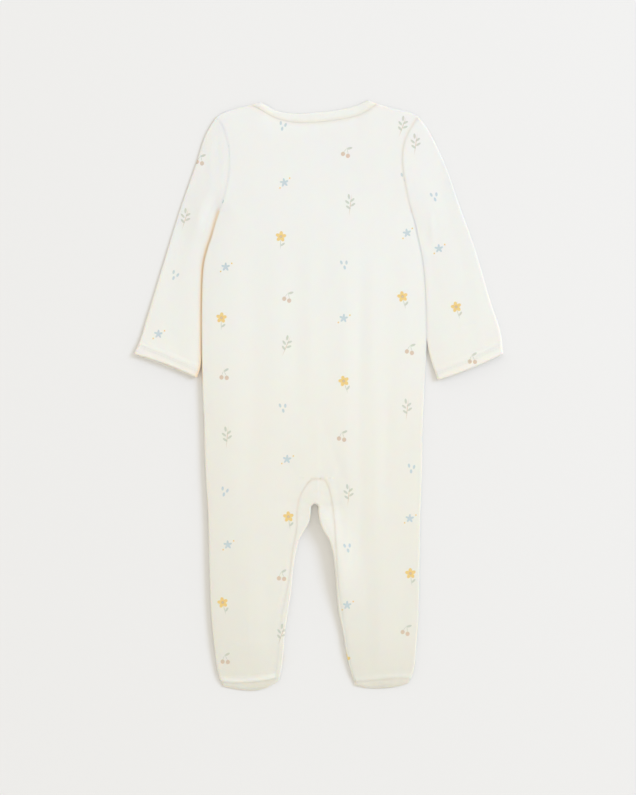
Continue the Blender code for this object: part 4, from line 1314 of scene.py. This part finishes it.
def hem_rows(piece, side):
    """Two rows of stitches round a cuff, near the inner edge of its hem."""
    rows = []
    for layer, peek in ((1, CUFF_PEEK[side]), (-1, 0.0)):
        net = sleeve_net(side, peek)
        down = sleeve_rows(side)
        length = PLAN.outer[side].length
        for below in STITCH_ROWS:
            at = 1 - (HEM_DEPTH - below) / length
            k = min(np.searchsorted(down, at), len(down) - 1)
            share = (at - down[k - 1]) / (down[k] - down[k - 1])
            plan = net[k - 1] + (net[k] - net[k - 1]) * share
            line = Line(plan)
            along = np.linspace(STITCH_END, line.length - STITCH_END, STITCH_POINTS)
            rows.append(on_cloth(piece, line.at(along), layer))
    return rows


# ---- Materials ----

class Shader(Nodes):
    """Builds the nodes of one material."""

    def __init__(self, name):
        self.material = bpy.data.materials.new(name)
        self.material.use_nodes = True
        super().__init__(self.material.node_tree)
        self.tree.nodes.clear()

    def grain(self):
        """Place on the cloth along its grain, in millimetres."""
        grain = self.add("ShaderNodeUVMap", uv_map="grain")
        return self.add("ShaderNodeVectorMath", {0: grain, "Scale": 1 / MM}, operation="SCALE")

    def step(self, value, start, end):
        """0 to 1 while a number runs from start to end, and held beyond them."""
        given = {"Value": value, "From Min": start, "From Max": end}
        return self.add("ShaderNodeMapRange", given, interpolation_type="SMOOTHSTEP")

    def split(self, vector):
        """The three parts of a vector."""
        parts = self.add("ShaderNodeSeparateXYZ", {0: vector})
        return parts, parts.of(1), parts.of(2)

    def blend(self, share, first, second):
        """Colour between two others."""
        given = {0: share, 6: first, 7: second}
        return self.add("ShaderNodeMix", given, out=2, data_type="RGBA")

    def toned(self, colour, attribute, tone):
        """Colour that leads to a tone where an attribute of the piece says so."""
        share = self.add("ShaderNodeAttribute", out="Fac", attribute_name=attribute)
        return self.blend(share, colour, tone)

    def ramp(self, value, stops):
        """Colour that follows a number, from a table of stops in rising order."""
        place, *colours = stops.values()
        share = (value - place[0]) / (place[-1] - place[0])
        colour = self.add("ShaderNodeValToRGB", {"Fac": share})
        ramp = colour.socket.node.color_ramp
        ramp.interpolation = "B_SPLINE"
        for at in (place[1:-1] - place[0]) / (place[-1] - place[0]):
            ramp.elements.new(at)
        for element, mixed in zip(ramp.elements, zip(*colours)):
            element.color = (*mixed, 1.0)
        return colour

    def noise(self, place, scale, detail=2.0, roughness=0.5):
        """Soft random numbers about 0.5; scale counts them for each unit of place."""
        given = {"Vector": place, "Scale": scale, "Detail": detail, "Roughness": roughness}
        return self.add("ShaderNodeTexNoise", given)

    def finish(self, **given):
        """Give the material its surface, with values or links on the surface's inputs."""
        named = {name.replace("_", " "): value for name, value in given.items()}
        surface = self.add("ShaderNodeBsdfPrincipled", named)
        self.add("ShaderNodeOutputMaterial", {"Surface": surface})
        return self.material

    def cloth(self, colour, roughness, height, sheen=0.25):
        """Finish as matt, slightly fuzzy cloth; height is in millimetres."""
        bump = self.add("ShaderNodeBump", {"Height": height, "Distance": MM, "Strength": 1.0})
        return self.finish(Base_Color=colour, Roughness=roughness, Normal=bump,
                           Sheen_Weight=sheen, Sheen_Roughness=0.6, Specular_IOR_Level=0.25,
                           Subsurface_Weight=THROUGH, Subsurface_Radius=THROUGH_COLOUR,
                           Subsurface_Scale=THROUGH_REACH * MM)


CREAMS_AND_PAINTED_SHADE = table(               # the cloth's cream from the feet up, y from the suit's middle; darker and warmer towards the feet and darkest on the soles as painted shade
    "y      red    green  blue",
    (-281.0, 0.725, 0.680, 0.580),
    (-268.0, 0.785, 0.755, 0.667),
    (-190.0, 0.802, 0.773, 0.690),
    (-35.0,  0.853, 0.812, 0.728),
    (65.0,   0.860, 0.836, 0.770),
    (210.0,  0.849, 0.826, 0.784))
CREAM_STRAY = 40.0                     # how far its noise moves it along y, from end to end
RIB_CREAMS = ((0.874, 0.851, 0.788, 1.0), (0.84778, 0.82547, 0.76436, 1.0))
THREAD_CREAM = (0.790, 0.765, 0.690, 1.0)
WARM_SHADE_TONE = (0.84, 0.57, 0.31, 1.0)    # what the warm tint at seams and gaps leads to: painted shade, and at seams partly their own line
PAINTED_HIGHLIGHT_TONE = (0.93, 0.91, 0.85, 1.0)   # and what the painted highlight on the ridge above each sole seam leads to
THROUGH = 0.5                          # share of the light that passes into the cloth,
THROUGH_COLOUR = (1.0, 0.62, 0.36)     # how far each colour of it goes,
THROUGH_REACH = 2.5                    # and the longest way
MATT, MATT_VARY = 0.86, 0.08           # roughness of cloth, and what its noise adds

# Surface of the knit, the rib and the thread; the thread's fuzz is counted for each metre.
KNIT = {"rib": 0.85, "rib_depth": 0.055, "loop": 0.62, "loop_lift": 0.012, "fuzz_lift": 0.07}
RIB = {"pitch": 1.5, "lift": 0.05, "fuzz_lift": 0.06}
THREAD = {"fuzz": 2500.0, "fuzz_lift": 0.02, "roughness": 0.75, "vary": 0.1, "sheen": 0.1}

# Noise on the cloth: its scale for each millimetre, detail and roughness.
FUZZ = (3.1, 3.0, 0.65)
INK_UNEVEN = (1.4, 3.0, 0.6)
PRINTED_TONE = (0.035, 3.0, 0.55)
RIB_TONE = (0.06, 3.0, 0.55)

INKS = {"mustard": (0.85, 0.58, 0.16, 1.0),
        "tan": (0.62, 0.44, 0.30, 1.0),
        "blue": (0.47, 0.58, 0.62, 1.0),
        "green": (0.52, 0.55, 0.45, 1.0)}
INK_STRENGTH = {"mustard": 0.85, "tan": 0.7, "blue": 0.75, "green": 0.7}
INK_LEAST, INK_VARY = 0.75, 0.5        # share of it where it took badly, and what its noise adds

# The print: one motif in each cell of a half-drop repeat, of ellipses in millimetres. Their ink
# counts through INKS from 0.
CELL = (58.0, 54.0)
MOTIF_SHIFT = 9.0                      # how far it lies from its cell's middle, from end to end
MOTIF_TURN = 0.55                      # how far it is turned, in radians from end to end
MOTIF_SIZE = 1.3
MOTIF_SOFT = 0.16                      # width over which an ellipse's edge fades
MOTIF_CORE = 0.2                       # least share of an ellipse that is full
STAR = {"ink": 2, "points": 5, "size": 3.2, "waist": 0.45, "soft": 0.2}
MOTIFS = {
    "flower": table(
        "ink x     y     width height turn",
        (0, 0.0,  2.2,  1.30, 1.75, 0),
        (0, 2.1,  0.7,  1.30, 1.75, -72),
        (0, 1.3,  -1.8, 1.30, 1.75, -144),
        (0, -1.3, -1.8, 1.30, 1.75, 144),
        (0, -2.1, 0.7,  1.30, 1.75, 72),
        (1, 0.0,  0.0,  1.05, 1.05, 0),
        (3, 0.3,  -5.4, 0.26, 3.00, 5),
        (3, 1.9,  -5.6, 0.75, 1.80, -48)),
    "sprig": table(
        "ink x     y     width height turn",
        (1, 0.0,  -0.6, 0.24, 5.90, -8),
        (3, -0.9, 5.6,  0.85, 1.90, 6),
        (3, 1.5,  3.0,  0.80, 1.90, -52),
        (3, -2.2, 1.6,  0.80, 1.90, 50),
        (3, 1.9,  -0.4, 0.80, 1.90, -56),
        (3, -1.6, -2.2, 0.80, 1.90, 52)),
    "star and dots": table(
        "ink x     y     width height turn",
        (0, 4.4,  2.6,  0.60, 0.60, 0),
        (0, -3.6, -3.4, 0.60, 0.60, 0)),
    "berries": table(
        "ink x     y     width height turn",
        (1, -1.9, -2.0, 1.50, 1.60, 0),
        (1, 1.9,  -2.6, 1.50, 1.60, 0),
        (3, -1.0, 0.8,  0.20, 1.90, -26),
        (3, 1.0,  0.6,  0.20, 2.10, 24),
        (3, 1.9,  3.1,  0.85, 2.00, -62)),
    "drops": table(
        "ink x     y     width height turn",
        (2, -1.8, 1.4,  0.85, 1.50, 12),
        (2, 1.9,  0.7,  0.85, 1.50, -10),
        (2, 0.0,  -2.6, 0.85, 1.50, 4))}


def ellipse(shader, place, row):
    """1 inside an ellipse and 0 outside it."""
    _, x, y, width, height, turn = row
    given = {"Vector": place, "Location": (x, y, 0), "Rotation": (0, 0, math.radians(turn)),
             "Scale": (width, height, 1)}
    apart = shader.add("ShaderNodeMapping", given, vector_type="TEXTURE")
    apart = shader.add("ShaderNodeVectorMath", {0: apart}, out=1, operation="LENGTH")
    soft = MOTIF_SOFT / min(width, height)
    return shader.step(apart, 1 + soft, max(1 - soft, MOTIF_CORE))


def star(shader, place):
    """1 inside a star with soft points."""
    x, y, _ = shader.split(place)
    sector = 2 * math.pi / STAR["points"]
    off = shader.math("ARCTAN2", x, y) % sector - sector / 2
    radius = shader.add("ShaderNodeVectorMath", {0: place}, out=1, operation="LENGTH")
    waist, size, soft = STAR["waist"], STAR["size"], STAR["soft"]
    reach = waist + (1 - waist) * shader.step(shader.math("ABSOLUTE", off), 0.0, sector / 2)
    return shader.step(radius / reach, size + soft, size - soft)


def printed(shader, place, colour):
    """The cloth's colour with the print on it; place is in millimetres along the grain."""
    x, y, _ = shader.split(place)
    wide, high = CELL
    column = shader.math("FLOOR", x / wide)
    dropped = y + (column % 2.0) * (high / 2)
    row = shader.math("FLOOR", dropped / high)
    chance = shader.add("ShaderNodeTexWhiteNoise", {"Vector": shader.join(column, row)},
                        out="Color", noise_dimensions="3D")
    shift_x, shift_y, turn = shader.split(chance)
    local = shader.join(x - (column + 0.5) * wide + (shift_x - 0.5) * MOTIF_SHIFT,
                        dropped - (row + 0.5) * high + (shift_y - 0.5) * MOTIF_SHIFT)
    given = {"Vector": local, "Angle": (turn - 0.5) * MOTIF_TURN}
    local = shader.add("ShaderNodeVectorRotate", given, rotation_type="Z_AXIS")
    given = {0: local, "Scale": 1 / MOTIF_SIZE}
    local = shader.add("ShaderNodeVectorMath", given, operation="SCALE")
    kind = (column + row * 2.0) % float(len(MOTIFS))
    masks = {}
    for number, (name, shapes) in enumerate(MOTIFS.items()):
        here = shader.math("COMPARE", kind, float(number), 0.5)
        parts = {}
        for shape in zip(*shapes.values()):
            parts.setdefault(int(shape[0]), []).append(ellipse(shader, local, shape))
        if name == "star and dots":
            parts[STAR["ink"]] = [star(shader, local)]
        for ink, found in parts.items():
            whole = reduce(lambda a, b: shader.math("MAXIMUM", a, b), found)
            masks.setdefault(ink, []).append(whole * here)
    uneven = shader.noise(place, *INK_UNEVEN)
    for ink, (name, paint) in enumerate(INKS.items()):
        whole = reduce(lambda a, b: a + b, masks[ink])
        share = whole * (INK_LEAST + INK_VARY * uneven) * INK_STRENGTH[name]
        colour = shader.blend(share, colour, paint)
    return colour


def interlock(shader, place):
    """Height of the fine knit in millimetres: upright ribs of small slanted loops, and fuzz."""
    x, y, _ = shader.split(place)
    rib = shader.math("ABSOLUTE", x / KNIT["rib"] % 1.0 - 0.5)
    loop = shader.math("SINE", (y / KNIT["loop"] + rib) * (2 * math.pi))
    fuzz = shader.noise(place, *FUZZ) * KNIT["fuzz_lift"]
    return rib * -KNIT["rib_depth"] + loop * KNIT["loop_lift"] + fuzz


def printed_cloth():
    shader = Shader("printed_cotton_interlock")
    place = shader.grain()
    tone = shader.noise(place, *PRINTED_TONE)
    _, up, _ = shader.split(shader.add("ShaderNodeTexCoord", out="Object"))
    # darker and warmer towards the feet and on the soles: painted shade
    colour = shader.ramp(up * (1 / MM) + (tone - 0.5) * CREAM_STRAY, CREAMS_AND_PAINTED_SHADE)
    colour = printed(shader, place, colour)
    # warm painted shade beside gaps, and at seams partly their own line and partly painted shade
    colour = shader.toned(colour, "warm_shade_at_seams", WARM_SHADE_TONE)
    # painted highlight on the ridge above each sole seam
    colour = shader.toned(colour, "heel_painted_highlight", PAINTED_HIGHLIGHT_TONE)
    return shader.cloth(colour, MATT + MATT_VARY * tone, interlock(shader, place))


def rib_cloth():
    shader = Shader("cotton_rib")
    place = shader.grain()
    x, _, _ = shader.split(place)
    rib = shader.math("SINE", x * (2 * math.pi / RIB["pitch"]))
    fuzz = shader.noise(place, *FUZZ)
    tone = shader.noise(place, *RIB_TONE)
    # warm tint at the neck seams: partly their own line, partly painted shade
    colour = shader.toned(shader.blend(tone, *RIB_CREAMS), "warm_shade_at_seams", WARM_SHADE_TONE)
    height = rib * RIB["lift"] + fuzz * RIB["fuzz_lift"]
    return shader.cloth(colour, MATT + MATT_VARY * tone, height)


def thread():
    shader = Shader("cotton_thread")
    fuzz = shader.noise(shader.add("ShaderNodeTexCoord", out="Object"), THREAD["fuzz"])
    roughness = THREAD["roughness"] + THREAD["vary"] * fuzz
    return shader.cloth(THREAD_CREAM, roughness, fuzz * THREAD["fuzz_lift"], THREAD["sheen"])


# ---- Setting, in metres ----

FLOOR_TONES = ((0.80, 0.80, 0.785, 1.0), (0.79, 0.79, 0.772, 1.0))
FLOOR = {"half": 3.0, "level": -0.0002, "noise": 1.7}
WINDOW = {"size": (3.0, 2.6), "watts": 165.0, "colour": (0.86, 1.0, 1.30),
          "azimuth": 27, "elevation": 38, "distance": 7.0}
ROOM = {"Color": (1.04, 1.0, 0.935, 1.0), "Strength": 0.885}
PICTURE = (636, 795)                 # width and height in pixels
ORIGIN_PX = (315.5, 690.5)           # column and row of the picture where x and y are 0
MM_PER_PX = 0.95                     # on the floor
CAMERA_HEIGHT = 2.4
SENSOR = 36.0                        # in millimetres


def floor():
    shader = Shader("pale_floor")
    tone = shader.noise(shader.add("ShaderNodeTexCoord", out="Object"), FLOOR["noise"])
    colour = shader.blend(tone, *FLOOR_TONES)
    data = bpy.data.meshes.new("floor")
    corners = [(-1, -1), (1, -1), (1, 1), (-1, 1)]
    points = [(x * FLOOR["half"], y * FLOOR["half"], FLOOR["level"]) for x, y in corners]
    data.from_pydata(points, [], [(0, 1, 2, 3)])
    data.materials.append(shader.finish(Base_Color=colour, Roughness=0.95, Specular_IOR_Level=0.1))
    placed("floor", data)


def lights():
    """A window at the upper right and soft light from all round."""
    data = bpy.data.lights.new("window", "AREA")
    data.shape = "RECTANGLE"
    data.size, data.size_y = WINDOW["size"]
    data.energy, data.color = WINDOW["watts"], WINDOW["colour"]
    azimuth, elevation = math.radians(WINDOW["azimuth"]), math.radians(WINDOW["elevation"])
    way = Vector((math.cos(azimuth) * math.cos(elevation),
                  math.sin(azimuth) * math.cos(elevation), math.sin(elevation)))
    window = placed("window", data)
    window.location = way * WINDOW["distance"]
    window.rotation_mode = "QUATERNION"
    window.rotation_quaternion = way.to_track_quat("Z", "Y")
    world = bpy.data.worlds.new("room")
    world.use_nodes = True
    for name, value in ROOM.items():
        world.node_tree.nodes["Background"].inputs[name].default_value = value
    bpy.context.scene.world = world


def camera():
    """Straight above the laid suit."""
    width, height = PICTURE
    column, row = ORIGIN_PX
    centre = np.array([(width / 2 - column) * MM_PER_PX, (row - height / 2) * MM_PER_PX])
    data = bpy.data.cameras.new("camera")
    data.sensor_width = SENSOR
    data.lens = SENSOR * CAMERA_HEIGHT / (height * MM_PER_PX * MM)
    view = placed("camera", data)
    view.location = (*((centre - PLAN.middle) * MM), CAMERA_HEIGHT)
    bpy.context.scene.camera = view
    bpy.context.scene.view_settings.view_transform = "Standard"


def main():
    cloth, rib, sewing = printed_cloth(), rib_cloth(), thread()
    tree = stitch_tree()
    pieces = [front(), back(), inner_leg_band(), neckband()]
    pieces += [maker(side) for side in SIDES for maker in (sleeve, sole)]
    parts = {}
    for piece in pieces:
        material = rib if piece.name == "neckband" else cloth
        parts[piece.name] = piece.shell(material)
    rows = {}
    for seed, side in enumerate(SIDES):
        piece = next(p for p in pieces if p.name == "sleeve_" + side)
        rows[piece.name] = [stitches("cuff_stitches_" + side, tree, hem_rows(piece, side),
                                     sewing, seed)]
    for piece in pieces:
        part = parts[piece.name]
        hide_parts(piece.name)
        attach(part, "root")
        for row in rows.get(piece.name, []):
            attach(row, "root")
    floor()
    lights()
    camera()


main()
